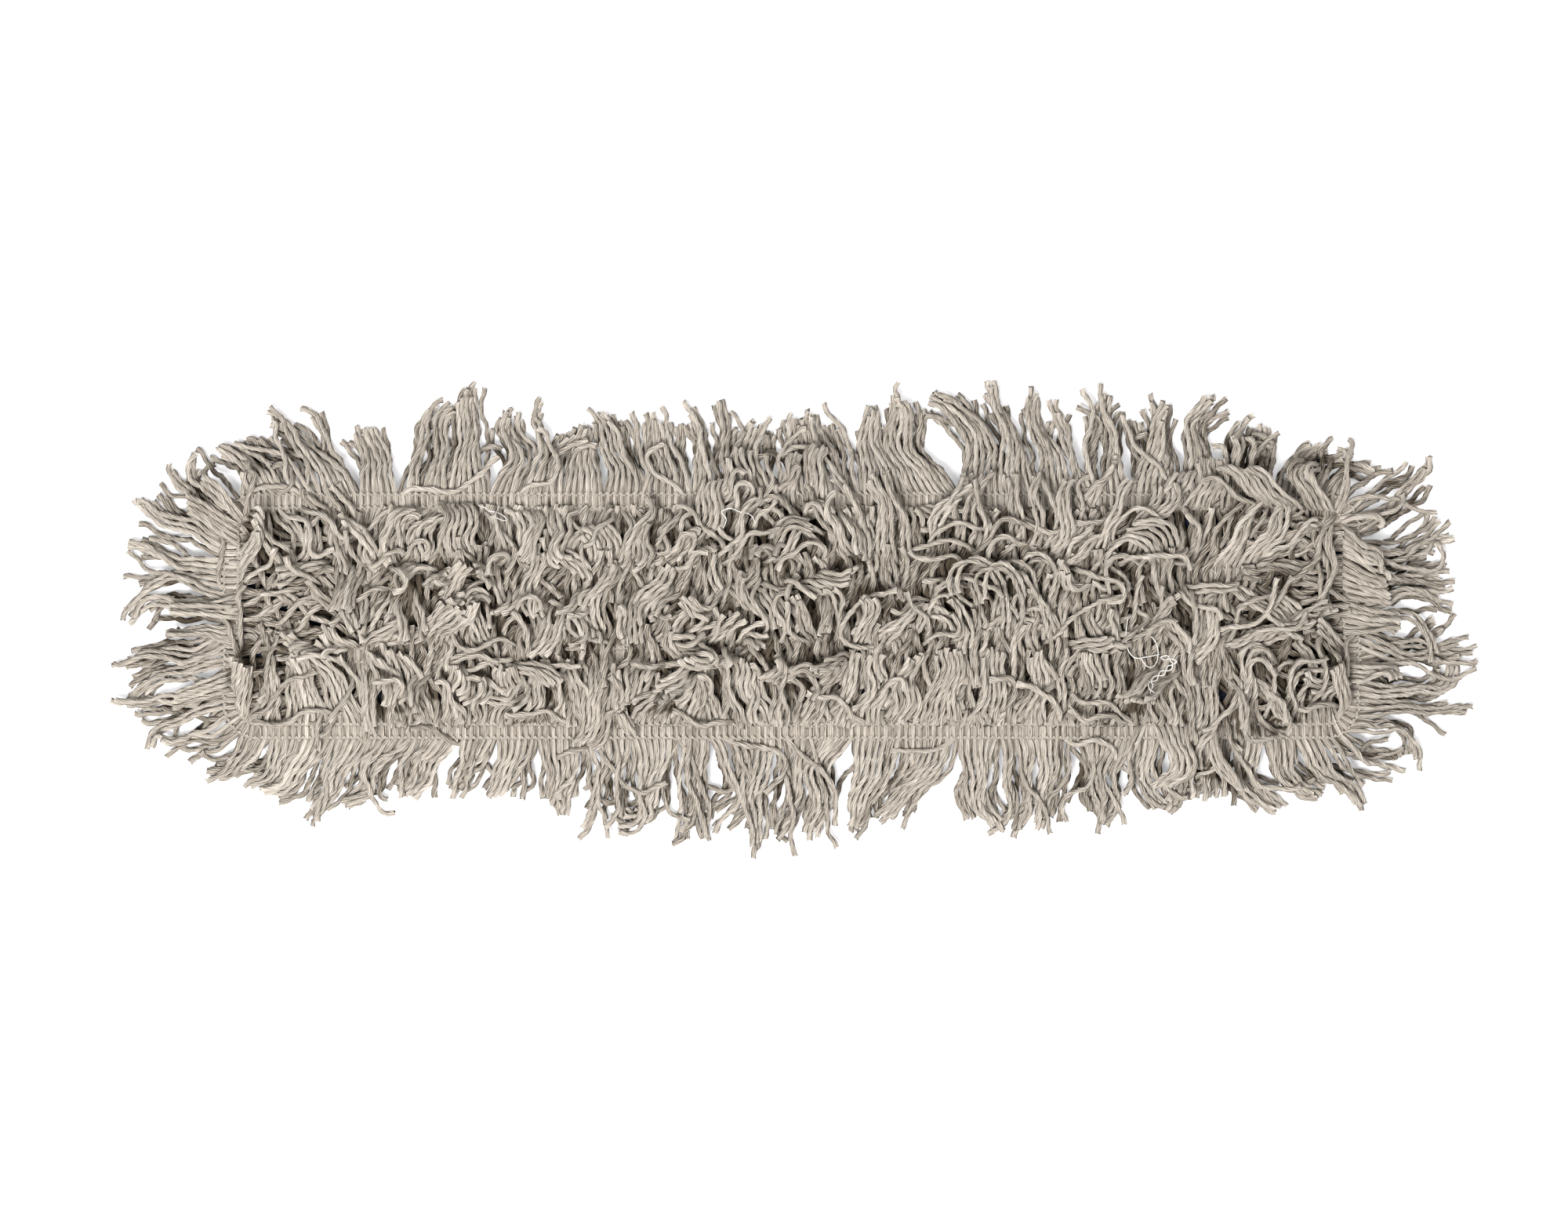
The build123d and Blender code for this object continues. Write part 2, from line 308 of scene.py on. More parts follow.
quarter = HALF_WIDTH - CORNER_RADIUS + corner_turn * math.pi / 2 + HALF_LENGTH - CORNER_RADIUS
per_quarter = 2 * int(round(quarter / PITCH))
quarter_root, quarter_normal = loop_place((np.arange(per_quarter) + 0.5) * quarter / per_quarter)
signs = np.array([(1, 1), (-1, 1), (-1, -1), (1, -1)])
outer_root = (signs[:, None] * quarter_root[None]).reshape(-1, 2)
outer_normal = (signs[:, None] * quarter_normal[None]).reshape(-1, 2)
per_inner = 2 * int(round(2 * INNER_END / INNER_PITCH))
inner_x = (np.arange(per_inner) + 0.5) * 2 * INNER_END / per_inner - INNER_END
inner_root = np.concatenate([np.stack([inner_x, np.full(per_inner, s * INNER_ROW)], -1) for s in (1, -1)])
inner_normal = np.repeat(np.array([(0.0, 1.0), (0.0, -1.0)]), per_inner, axis=0)
root = np.concatenate([outer_root, inner_root])
normal = np.concatenate([outer_normal, inner_normal])
tangent = np.stack([-normal[:, 1], normal[:, 0]], axis=-1)
strands = len(root)
outer = np.arange(strands) < len(outer_root)
at_end = outer & (np.abs(normal[:, 0]) > np.cos(END_TURN))
upper = np.arange(strands) % 2 == 0
rows = {
    "rear": outer & ~at_end & (root[:, 1] > 0),
    "front": outer & ~at_end & (root[:, 1] < 0),
    "left": at_end & (root[:, 0] < 0),
    "right": at_end & (root[:, 0] > 0),
    "rear_inner": ~outer & (root[:, 1] > 0),
    "front_inner": ~outer & (root[:, 1] < 0),
}
spot = np.where(at_end, root[:, 1], root[:, 0])  # where along its row a strand is
for name, chosen in rows.items():
    row = np.flatnonzero(chosen)
    rows[name] = row[np.argsort(spot[row], kind="stable")]

# Locks of the fringe, in millimetres: where along its row a lock is rooted, and where its tip lies
FRINGE_LOCKS = {
    "rear": np.array([
        (-302, -330, 94), (-292, -318, 96), (-280, -308, 92), (-268, -303, 88), (-244, -271, 115),
        (-225, -229, 102), (-202, -197, 118), (-174, -182, 124), (-153, -163, 115), (-117, -116, 102),
        (-89, -102, 112), (-68, -76, 108), (-38, -39, 115), (-22, -21, 109), (13, 2, 109), (30, 17, 109),
        (49, 46, 114), (81, 64, 122), (102, 83, 125), (123, 102, 120), (145, 130, 117), (162, 157, 120),
        (174, 170, 120), (191, 191, 115), (206, 205, 118), (221, 228, 122), (238, 250, 110), (251, 260, 102),
        (268, 289, 90), (280, 305, 86), (292, 318, 85), (302, 330, 84),
    ]),
    "front": np.array([
        (-302, -328, -78), (-290, -312, -81), (-276, -298, -85), (-259, -285, -102), (-238, -261, -109),
        (-216, -236, -107), (-191, -206, -95), (-170, -185, -92), (-148, -161, -95), (-125, -126, -106),
        (-98, -98, -119), (-76, -80, -124), (-53, -55, -124), (-36, -39, -124), (-17, -18, -125),
        (2, 0, -124), (22, 22, -123), (43, 36, -116), (77, 52, -111), (104, 101, -119), (121, 124, -121),
        (138, 138, -117), (157, 160, -117), (174, 172, -114), (196, 204, -112), (208, 214, -107),
        (221, 227, -98), (247, 266, -110), (264, 291, -105), (281, 316, -93), (292, 332, -88),
        (302, 343, -83),
    ]),
    "left": np.array([
        (58, -337, 87), (50, -345, 73), (38, -357, 57), (26, -361, 40), (14, -371, 22), (2, -363, 2),
        (-10, -371, -14), (-22, -369, -31), (-34, -364, -48), (-46, -355, -62), (-56, -342, -73),
    ]),
    "right": np.array([
        (58, 342, 82), (48, 353, 73), (32, 358, 50), (16, 357, 30), (2, 361, 12), (-12, 367, -8),
        (-25, 372, -22), (-38, 370, -38), (-50, 367, -54), (-58, 354, -69),
    ]),
}
# How far apart the tips of a lock are, as a share of their roots, and how much locks bow and curl, in degrees
LOCK_SPREAD = {"rear": 0.22, "front": 0.22, "left": 0.06, "right": 0.12}
LOCK_BOW = {"rear": 13, "front": 13, "left": 26, "right": 20}
LOCK_CURL = {"rear": 24, "front": 24, "left": 42, "right": 34}

# Each half strand: how far it leans from square, bows, curls at its tip and waves, the slope with which it
# leaves the header and with which it ends, how high it starts to settle from, and the step between its
# points. Angles count anticlockwise as seen from above.
lean, bow, curl, sway, sway_start, rise, fall, lift, step = np.zeros((9, 2, strands))
lock_of = np.zeros((2, strands), int)  # strands of one lock cling together

# Outer halves of the outer rows are fringe, which makes for the tips of its locks
for name, locks in FRINGE_LOCKS.items():
    row = rows[name]
    along_row = np.eye(2)[int(name in ("left", "right"))]
    lock = np.argmin(np.abs(spot[row, None] * 1000 - locks[None, :, 0]), axis=1)
    offset = spot[row] - locks[lock, 0] / 1000
    aim = locks[lock, 1:] / 1000 + LOCK_SPREAD[name] * offset[:, None] * along_row
    chord = aim - root[row] - normal[row] * SWING_AXIS
    own = rng.normal(0, 1, (5, len(row)))
    of_lock = rng.normal(0, 1, (3, len(locks)))[:, lock]
    aimed = np.degrees(np.arctan2((chord * tangent[row]).sum(1), (chord * normal[row]).sum(1)))
    stray = rng.random(len(row)) < STRAY_FRINGE
    lock_of[0, row] = np.where(stray, -1 - np.arange(len(row)), lock)
    lean[0, row] = aimed + 4 * own[0] + np.where(stray, 32 * own[3], 0)
    bow[0, row] = np.clip(0.6 * aimed, -28, 28) + LOCK_BOW[name] * of_lock[1] + 5 * own[1]
    bow[0, row] += np.where(stray, 30 * own[2], 0)
    curl[0, row] = LOCK_CURL[name] * of_lock[0] + 10 * own[2] + np.where(stray, 50 * own[4], 0)
    sway[0, row] = 11 + 7 * np.abs(of_lock[1])
    sway_start[0, row] = 3 * of_lock[2] + 0.4 * own[1]
    long = np.linalg.norm(chord, axis=1) * (1.05 + 0.08 * own[4]) * np.where(upper[row], 1.0, LOWER_FRINGE)
    step[0, row] = np.clip(long, SHORT_FRINGE, LONG_FRINGE) / FREE_POINTS
    lift[0, row] = upper[row] * (0.004 + 0.003 * np.abs(of_lock[2])) + 0.006 * stray

# All other halves are pile. The lower layer of each row lies flat and covers the canvas. The upper layer
# falls into locks of three to seven strands. Where a header shows, the pile lies away from it, and elsewhere
# some locks are thrown over it: from where to where along a row, and what share of its locks.
COVERED = {"rear": (-0.055, 0.310), "front": (0.143, 0.253), "left": (-0.07, 0.07), "right": (-0.07, 0.07)}
THROWN = {"rear": 0.8, "front": 0.6, "left": 1.0, "right": 1.0}
LOCK_SIZE = (6, 15)  # strands of both layers, the second number not reached
TUFT_SIZE = (3, 7)
MOST_LEAN = 95
# Ranges of rise, of fall and of length as a share of the usual one, for locks that stand and that are thrown
STANDING_LOCK = ((50, 80), (5, 45), (0.42, 0.70))
THROWN_LOCK = ((85, 105), (165, 200), (0.42, 0.8))


def pile_locks(row, size=LOCK_SIZE):
    """Cuts a row into locks: each strand's lock and its place in that, and the middle of each lock."""
    sizes = rng.integers(*size, size=len(row))
    number = np.repeat(np.arange(len(row)), sizes)[: len(row)]
    size = np.bincount(number)
    first = np.cumsum(size) - size
    middle = np.bincount(number, spot[row]) / size
    return number, (np.arange(len(row)) - first[number]) - (size[number] - 1) / 2, middle


for name, row in rows.items():
    along_row = np.eye(2)[int(name in ("left", "right"))]
    inside = "inner" in name
    edge = name.split("_")[0]
    for half in (0, 1) if inside else (1,):
        number, place, middle = pile_locks(row)
        count = len(middle)
        own = rng.normal(0, 1, (5, len(row)))
        low, high = COVERED[edge]
        covered = (middle > low) & (middle < high)
        leans = np.clip(rng.normal(0, 60 if inside else 42, count), -MOST_LEAN, MOST_LEAN)
        rises = rng.uniform(25, 72, count)
        falls = -rises * rng.uniform(0.4, 1.0, count)
        long = rng.uniform(0.85, 1.05, count)
        if inside:
            long = rng.uniform(0.70, 1.0, count) - 0.25 * smooth_step((np.abs(leans) - 25) / 40)
        standing = rng.random(count) < (0.7 if inside else 0.4)
        ranges = [rng.uniform(*span, count) for span in STANDING_LOCK]
        rises, falls, long = np.where(standing, ranges, (rises, falls, long))
        thrown = covered & (rng.random(count) < THROWN[edge])
        if not inside:
            leans = np.where(thrown, 0.6 * leans, leans)
            ranges = [rng.uniform(*span, count) for span in THROWN_LOCK]
            rises, falls, long = np.where(thrown, ranges, (rises, falls, long))
        if name == "rear_inner" and half == 0:  # three locks in four lie out over the covered header
            over = covered & (np.arange(count) % 4 > 0)
            leans = np.where(over, 0.5 * leans, leans)
            rises = np.where(over, 30 + 0.5 * rises, rises)
            falls = np.where(over, 0.5 * np.abs(falls) - 30, falls)
            long = np.where(over, 0.7 + 0.35 * long, long)
        gathered = inside or name in ("left", "right")
        fans = rng.uniform(-1.0, 3.0, count) if gathered else rng.uniform(-1.2, 0.8, count)
        turning = np.sign((tangent[row] * along_row).sum(1)) * (1 - 2 * half)
        free_lean = leans[number] + fans[number] * place * turning + 6 * own[0]
        lean[half, row] = np.where(upper[row], free_lean, 0.12 * leans[number] + 4 * own[0])
        lock_of[half, row] = number
        bow[half, row] = rng.normal(0, 22, count)[number] * upper[row] + 4 * own[1]
        curl[half, row] = rng.normal(0, 50, count)[number] * upper[row] + 8 * own[2]
        sway[half, row] = rng.uniform(8, 34, count)[number]
        sway_start[half, row] = rng.uniform(0, 6, count)[number] + 0.25 * own[4]
        rise[half, row] = np.where(upper[row], rises[number] + 3 * own[3], 14 + 4 * own[3])
        fall[half, row] = np.where(upper[row], falls[number] + 6 * own[4], -10)
        lift[half, row] = 0.010 * rng.random(count)[number] * upper[row]
        whole_length = np.where(upper[row], long[number] + 0.015 * own[1], 1.0 if half else 0.6)
        step[half, row] = PILE_STEP * whole_length

# Locks of the pile that lie in a way of their own: row, half, from and to along the row in millimetres, then
# lean, bow, curl, rise, fall in degrees, lift in millimetres and length as a share of the usual one
OWN_SPREAD = (3, 3, 7, 3, 5)  # of those angles, from strand to strand
OWN_LOCKS = [
    ("rear", 1, -290, -262, 15, -10, 0, 30, -30, 4, 0.9),
    ("rear", 1, -262, -240, 4, 14, 0, 30, -30, 4, 0.66),
    ("rear", 1, -240, -210, -8, 24, 30, 36, -30, 5, 0.62),
    ("rear", 1, -210, -168, -30, 34, 20, 38, -35, 5, 0.72),
    ("rear", 1, -168, -134, 14, -20, -35, 34, -25, 5, 0.6),
    ("rear", 1, -134, -98, -18, 18, 30, 40, -30, 5, 0.68),
    ("rear", 1, -98, -55, 14, -26, -20, 36, -20, 5, 0.62),
    ("front", 1, -284, -259, -10, 14, 0, 45, -5, 4, 0.7),
    ("front", 1, -259, -192, 24, 12, 0, 38, 0, 4, 0.78),
    ("front", 1, -192, -140, -20, 14, 0, 48, 5, 5, 0.62),
    ("front", 1, -140, -95, 24, -18, 30, 45, -5, 4, 0.68),
    ("front", 1, -95, -50, -30, 22, -30, 50, 0, 5, 0.6),
    ("front", 1, -50, -5, 18, -12, 20, 46, 5, 4, 0.66),
    ("front", 1, -5, 36, -22, 20, 0, 45, -10, 4, 0.7),
    ("front", 1, 36, 187, -8, 6, 0, 48, 15, 6, 0.74),
    ("rear", 1, 42, 70, -10, 10, 30, 30, -30, 3, 0.46),
    ("rear", 1, 84, 112, 14, -10, -30, 30, -30, 3, 0.44),
    ("rear", 1, 124, 152, -16, 10, 20, 30, -30, 3, 0.48),
    ("front_inner", 0, 36, 187, 0, 0, 0, 14, -8, 0, 0.45),
    ("rear_inner", 0, 40, 66, 12, -10, 30, 58, -15, 6, 0.95),
    ("rear_inner", 0, 66, 98, -16, 12, -30, 62, -10, 6, 1.0),
    ("rear_inner", 0, 98, 124, 10, -14, 40, 58, -15, 6, 0.9),
    ("rear_inner", 0, 124, 158, -10, 16, -20, 60, -10, 6, 0.98),
    ("rear_inner", 1, 40, 158, 0, 0, 0, 14, -8, 0, 0.5),
    ("front_inner", 1, 52, 64, 14, 6, -200, 44, 0, 18, 1.4),
    ("front_inner", 1, 64, 84, -12, 10, 20, 45, 10, 6, 0.7),
    ("front_inner", 1, 84, 96, 6, 6, -205, 44, 0, 18, 1.4),
    ("front_inner", 1, 104, 146, -12, 16, 210, 40, 0, 18, 1.45),
]
for name, half, low, high, *angles, raised, long in OWN_LOCKS:
    row = rows[name]
    row = row[upper[row] & (spot[row] > low / 1000) & (spot[row] < high / 1000)]
    own = rng.normal(0, 1, (6, len(row)))
    for values, angle, spread, each in zip((lean, bow, curl, rise, fall), angles, OWN_SPREAD, own):
        values[half, row] = angle + spread * each
    lift[half, row] = raised / 1000
    step[half, row] = PILE_STEP * (long + 0.03 * own[5])

# The last strands of the inner rows fan out over the ends, the lower layer flat and the upper one in tufts,
# which are short and upright at the left
INNER_FAN = 0.036  # length of row that does so
for name in ("rear_inner", "front_inner"):
    row = rows[name][np.abs(spot[rows[name]]) > INNER_END - INNER_FAN]
    into_fan = (np.abs(spot[row]) - INNER_END + INNER_FAN) / INNER_FAN
    for half in (0, 1):
        number = pile_locks(row)[0]
        own = rng.normal(0, 1, (5, len(row)))
        tuft = rng.uniform(-1, 1, (4, number.max() + 1))[:, number] * upper[row]
        to_end = np.sign(tangent[row, 0] * spot[row]) * (1 - 2 * half)
        lean[half, row] = to_end * (25 + 52 * into_fan) + 45 * tuft[0] + 9 * own[0]
        bow[half, row] = 10 * own[1]
        curl[half, row] = 40 * tuft[1] + 20 * own[2]
        short = spot[row] < 0
        rise[half, row] = np.where(upper[row], np.where(short, 74, 58) + 20 * tuft[2], 22) + 8 * own[3]
        fall[half, row] = np.where(upper[row], np.where(short, 60, 0) + 40 * tuft[3], -25) + 10 * own[4]
        lift[half, row] = 0.006 * upper[row]
        long = np.where(short, 0.58 + 0.15 * tuft[1], 0.95 + 0.25 * tuft[1])
        step[half, row] = PILE_STEP * (np.where(upper[row], long, 0.92) + 0.05 * own[2])

# Along the headers of the ends, some of the upper layer stands in short tufts that lean every way
for name, share, over in (("left", 1.0, 105), ("right", 0.75, 120)):
    row = rows[name][upper[rows[name]]]
    number = pile_locks(row, TUFT_SIZE)[0]
    tuft = rng.uniform(-1, 1, (5, number.max() + 1))[:, number]
    own = rng.normal(0, 1, (3, len(row)))
    tufted = (rng.random(number.max() + 1) < share)[number]
    tufts = (
        (lean, 55 * tuft[0] + 9 * own[0]),
        (curl, 70 * tuft[1] + 15 * own[1]),
        (rise, 82 + 14 * tuft[2] + 5 * own[2]),
        (fall, over + 85 * tuft[3]),
        (step, PILE_STEP * (0.60 + 0.14 * tuft[4])),
        (lock_of, strands + number),
    )
    for values, of_tuft in tufts:
        values[1, row] = np.where(tufted, of_tuft, values[1, row])

# Here and there a strand of the pile has left its lock and lies across others
LOOP_CURL = 150  # degrees, from which a strand closes to a loop
stray = upper & (rng.random((2, strands)) < STRAY_PILE)
stray[0] &= ~outer
own = rng.normal(0, 1, (3, *stray.shape))
lean += np.where(stray, 40 * own[0], 0)
curl += np.where(stray, 60 * own[1], 0)
sway += np.where(stray, 8, 0)
lift += np.where(stray, 0.003 + 0.003 * np.abs(own[2]), 0)
lock_of = np.where(stray, -1 - np.arange(strands), lock_of)
curl = np.where(np.abs(curl) > LOOP_CURL, curl, np.clip(curl, -MOST_LEAN, MOST_LEAN))
lean, bow, curl, sway, rise, fall = np.radians([lean, bow, curl, sway, rise, fall])

# Neighbours of one lock, as the numbers of their half strands
clinging = []
for name, row in rows.items():
    on_top = row[upper[row]]
    for half in (0, 1):
        same = lock_of[half, on_top[1:]] == lock_of[half, on_top[:-1]]
        clinging.append(half * strands + np.stack([on_top[:-1][same], on_top[1:][same]]))
clinging = np.concatenate(clinging, axis=1)

# Points of the halves: two sewn ones, then the free ones, each a step on along the heading
share = (np.arange(FREE_POINTS) + 0.5) / FREE_POINTS
fringe_half = np.stack([outer, np.zeros(strands, bool)])
sewn = np.where(fringe_half[..., None], (STITCH_OFFSET, SWING_AXIS), (STITCH_OFFSET, FREE_START))
way = np.stack([normal, -normal])
beside = np.stack([tangent, -tangent])
heading = lean[..., None] + bow[..., None] * (2 * share - 1)
curl_start = np.where(np.abs(curl) > 2.5, 0.3, 0.55)[..., None]  # a loop starts nearer to the header
heading = heading + curl[..., None] * smooth_step((share - curl_start) / (1 - curl_start))
loose = smooth_step(share / 0.2)
heading = heading + loose * sway[..., None] * np.sin(share * 9 + sway_start[..., None])
crinkle = np.radians(rng.uniform(5, 17, (2, strands, 1)))
crinkle_start = rng.uniform(0, 6, (2, strands, 1))
heading = heading + loose * crinkle * np.sin(share * rng.uniform(18, 26, (2, strands, 1)) + crinkle_start)
slope = rise[..., None] + (fall - rise)[..., None] * share
drop = BACK_TOP / (DROP_SHARE * FREE_POINTS * step * 2 / math.pi)
drooping = -drop[..., None] * np.sin(math.pi * np.clip(share / DROP_SHARE, 0, 1))
slope = np.where(fringe_half[..., None], drooping, slope)
slope = slope + np.radians(6) * np.sin(share * 8 + 2 * sway_start[..., None])
flat_way = np.cos(heading)[..., None] * way[:, :, None] + np.sin(heading)[..., None] * beside[:, :, None]
direction = np.concatenate([flat_way * np.cos(slope)[..., None], np.sin(slope)[..., None]], axis=-1)
layer_height = HEADER_HEIGHT + np.where(upper, LAYER_RISE, -LAYER_RISE)
base = root[None, :, None] + way[:, :, None] * sewn[..., None]
early = np.tan(np.clip(lean - bow, -0.7, 0.7)) * (SWING_AXIS - STITCH_OFFSET)
base[0, :, 1] += np.where(outer, early[0], 0)[:, None] * tangent
base_height = np.broadcast_to(layer_height[None, :, None, None], (2, strands, 2, 1))
base = np.concatenate([base, base_height], axis=-1)
free = base[:, :, 1:] + np.cumsum(direction * step[..., None, None], axis=2)
shape = np.concatenate([base, free], axis=2).reshape(2 * strands, FREE_POINTS + 2, 3)
line = shape.copy()
line[:, 2:, 2] += lift.reshape(-1, 1) * smooth_step(share / 0.4)
reach = step.reshape(-1)

# Header points between the sewn ones lie still, and the pile may not sink into them
RUNGS = np.array([-0.0018, 0.0, 0.0018])  # from the middle of the header
rungs = root[:, None] + normal[:, None] * RUNGS[:, None]
rungs = np.concatenate([rungs, np.tile(layer_height[:, None, None], (1, 3, 1))], axis=-1)

# The halves settle between what they lie on and a greatest height
EDGE_RAMP = 0.004
PILE_TOP = 0.038
TOP_SLOPE = 0.55  # with which the fringe's greatest height comes down outside the backing
TOP_REACH = 0.032


def floor_height(depth):
    """Height of what the yarn lies on: the backing, then a short ramp off its edge, then the floor."""
    return YARN / 2 + BACK_TOP * (1 - smooth_step(-depth / EDGE_RAMP))


def top_height(depth):
    """The most height that yarn reaches: level over the backing, and lower the further out it lies."""
    return PILE_TOP - TOP_SLOPE * np.clip(-depth, 0, TOP_REACH)


CELL = 0.0040  # of the grid that finds strands near each other
GRID_LOW = np.array([-0.42, -0.19, -0.01])
GRID_SIZE = np.array([212, 97, 32])
AROUND = [(i, j) for i in (-1, 0, 1) for j in (-1, 0, 1)]
half_neighbours = [(0, 0, 0), (1, 0, 0), (-1, 1, 0), (0, 1, 0), (1, 1, 0), *((*at, 1) for at in AROUND)]


def near_pairs(places, strand, order):
    """Pairs of points in the same or touching cells of a grid, nearer than a cell and not neighbours
    on one strand. Points are sorted by cell, so each cell is a run of them."""
    at = np.clip(((places - GRID_LOW) / CELL).astype(int), 1, GRID_SIZE - 2)
    cell = at[:, 0] + GRID_SIZE[0] * (at[:, 1] + GRID_SIZE[1] * at[:, 2])
    rank = np.argsort(cell, kind="stable")
    cell = cell[rank]
    held = np.bincount(cell, minlength=GRID_SIZE.prod())
    begin = np.cumsum(held) - held
    found = []
    for i, j, k in half_neighbours:
        other = cell + i + GRID_SIZE[0] * (j + GRID_SIZE[1] * k)
        many = held[other]
        one = np.repeat(np.arange(len(cell)), many)
        local = np.arange(len(one)) - np.repeat(np.cumsum(many) - many, many)
        two = np.repeat(begin[other], many) + local
        if i == j == k == 0:
            later = two > one
            one, two = one[later], two[later]
        found.append(np.stack([rank[one], rank[two]]))
    one, two = np.concatenate(found, axis=1)
    gap = places[one] - places[two]
    close = (gap * gap).sum(1) < CELL**2
    close &= (strand[one] != strand[two]) | (np.abs(order[one] - order[two]) > 3)
    return one[close], two[close]


def bend_at(line, stride):
    """How far the middle of the points a stride to either side lies from each point."""
    return (line[:, 2 * stride:] + line[:, : -2 * stride]) / 2 - line[:, stride:-stride]


def settle(line, shape, reach, rungs, steps):
    """Lets the half strands sink and rest on each other. In each step every free point keeps some of its
    speed and falls a little, each stretch bends back towards its own shape, neighbours of a lock draw
    together, points nearer than a yarn's thickness move apart, none stays below what it lies on, and each
    strand keeps its length."""
    count, points = line.shape[:2]
    strand = np.concatenate([np.repeat(np.arange(count) % strands, points), np.repeat(np.arange(strands), 3)])
    sign = np.where(np.arange(count) < strands, 1, -1)
    order = np.concatenate([(sign[:, None] * (np.arange(points) + 2)).ravel(), np.tile([-1, 0, 1], strands)])
    moving = np.concatenate([np.tile(np.arange(points) > 1, count), np.zeros(3 * strands, bool)])
    bends = [(stride, stiff, bend_at(shape, stride)) for stride, stiff in STIFFNESS]
    speed = np.zeros_like(line)
    still = rungs.reshape(-1, 3)
    for turn in range(steps):
        before = line.copy()
        line[:, 2:] += speed[:, 2:]
        line[:, 2:, 2] -= GRAVITY
        for stride, stiff, rest in bends:
            off = bend_at(line, stride) - rest
            line[:, stride:-stride] += stiff * off
            line[:, 2 * stride:] -= stiff / 2 * off
            line[:, : -2 * stride] -= stiff / 2 * off
        left, right = clinging
        apart = line[right, 2:] - line[left, 2:]
        wide = np.sqrt((apart * apart).sum(-1, keepdims=True))
        draw = CLING * np.clip(1 - YARN / np.maximum(wide, YARN), 0, 1) * apart
        line[left, 2:] += draw
        line[right, 2:] -= draw
        line[:, :2] = before[:, :2]
        places = np.concatenate([line.reshape(-1, 3), still])
        if turn % 4 == 0:
            one, two = near_pairs(places, strand, order)
        gap = places[one] - places[two]
        far = np.sqrt((gap * gap).sum(1))
        hit = far < CONTACT
        push = gap[hit] * (PUSH * (CONTACT - far[hit]) / np.maximum(far[hit], 1e-6))[:, None]
        for axis in range(3):
            shift = np.bincount(one[hit], push[:, axis], len(places))
            shift -= np.bincount(two[hit], push[:, axis], len(places))
            places[:, axis] += np.clip(shift, -MOST, MOST) * moving
        line = places[: count * points].reshape(count, points, 3)
        depth = edge_depth(line[:, 2:, 0], line[:, 2:, 1])
        line[:, 2:, 2] = np.clip(line[:, 2:, 2], floor_height(depth), top_height(depth))
        for k in range(2, points):
            leg = line[:, k] - line[:, k - 1]
            leg *= (reach / np.sqrt((leg * leg).sum(1)))[:, None]
            line[:, k] = line[:, k - 1] + leg
        speed = np.clip((line - before) * KEEP, -MOST, MOST)
    return line


GRAVITY = 0.000012  # fall in one step
STIFFNESS = ((1, 0.15), (3, 0.38))  # over how many points a strand bends back, and how much of the way
CLING = 0.07
KEEP = 0.93  # share of the speed that a point keeps
PUSH = 0.35
MOST = 0.0008  # longest move in one step
CONTACT = 0.0028  # between the middles of strands that touch
STEPS = 320
line = settle(line, shape, reach, rungs, STEPS)

# Small kinks are evened out, next to the header twice
for last in (FREE_POINTS, 5):
    near, here, far = line[:, :last], line[:, 1:last + 1], line[:, 2:last + 2]
    line[:, 1:last + 1] = 0.25 * near + 0.5 * here + 0.25 * far

# Whole strands: inner half from its tip, the header, outer half to its tip
front_half, back_half = line.reshape(2, strands, FREE_POINTS + 2, 3)
whole = np.concatenate([back_half[:, ::-1], rungs, front_half], axis=1)
POINTS = whole.shape[1]
SPLIT = FREE_POINTS + 2 + 3 + 1  # the ring at the swing axis
SIDES = 6
LAY = 0.028  # length of one turn of the twist
PLY_DEPTH = 0.15
PINCH = 0.8  # thickness under a line of stitches, as a share of the loose one
TWIST_START = 0.0115  # from the middle of the header
FLARE = 0.17
FLARE_LENGTH = 0.006
SLUB = 0.06  # how much a strand swells and thins along its length
SLUB_LENGTH = 0.005
THICKNESS = (-0.13, 0.10)  # range of difference from strand to strand
RAGGED = 0.0006  # how far the plies' crests reach past a cut end
CAP = np.array([(3, 2, 1, 0), (0, 5, 4, 3)])  # quads that close a ring of six points


def unit(vectors):
    """The same directions with a length of one."""
    return vectors / np.linalg.norm(vectors, axis=-1, keepdims=True)


def distance_along(path):
    """How far along a line of points each of them lies."""
    legs = np.linalg.norm(np.diff(path, axis=-2), axis=-1)
    return np.concatenate([np.zeros_like(legs[..., :1]), np.cumsum(legs, axis=-1)], axis=-1)


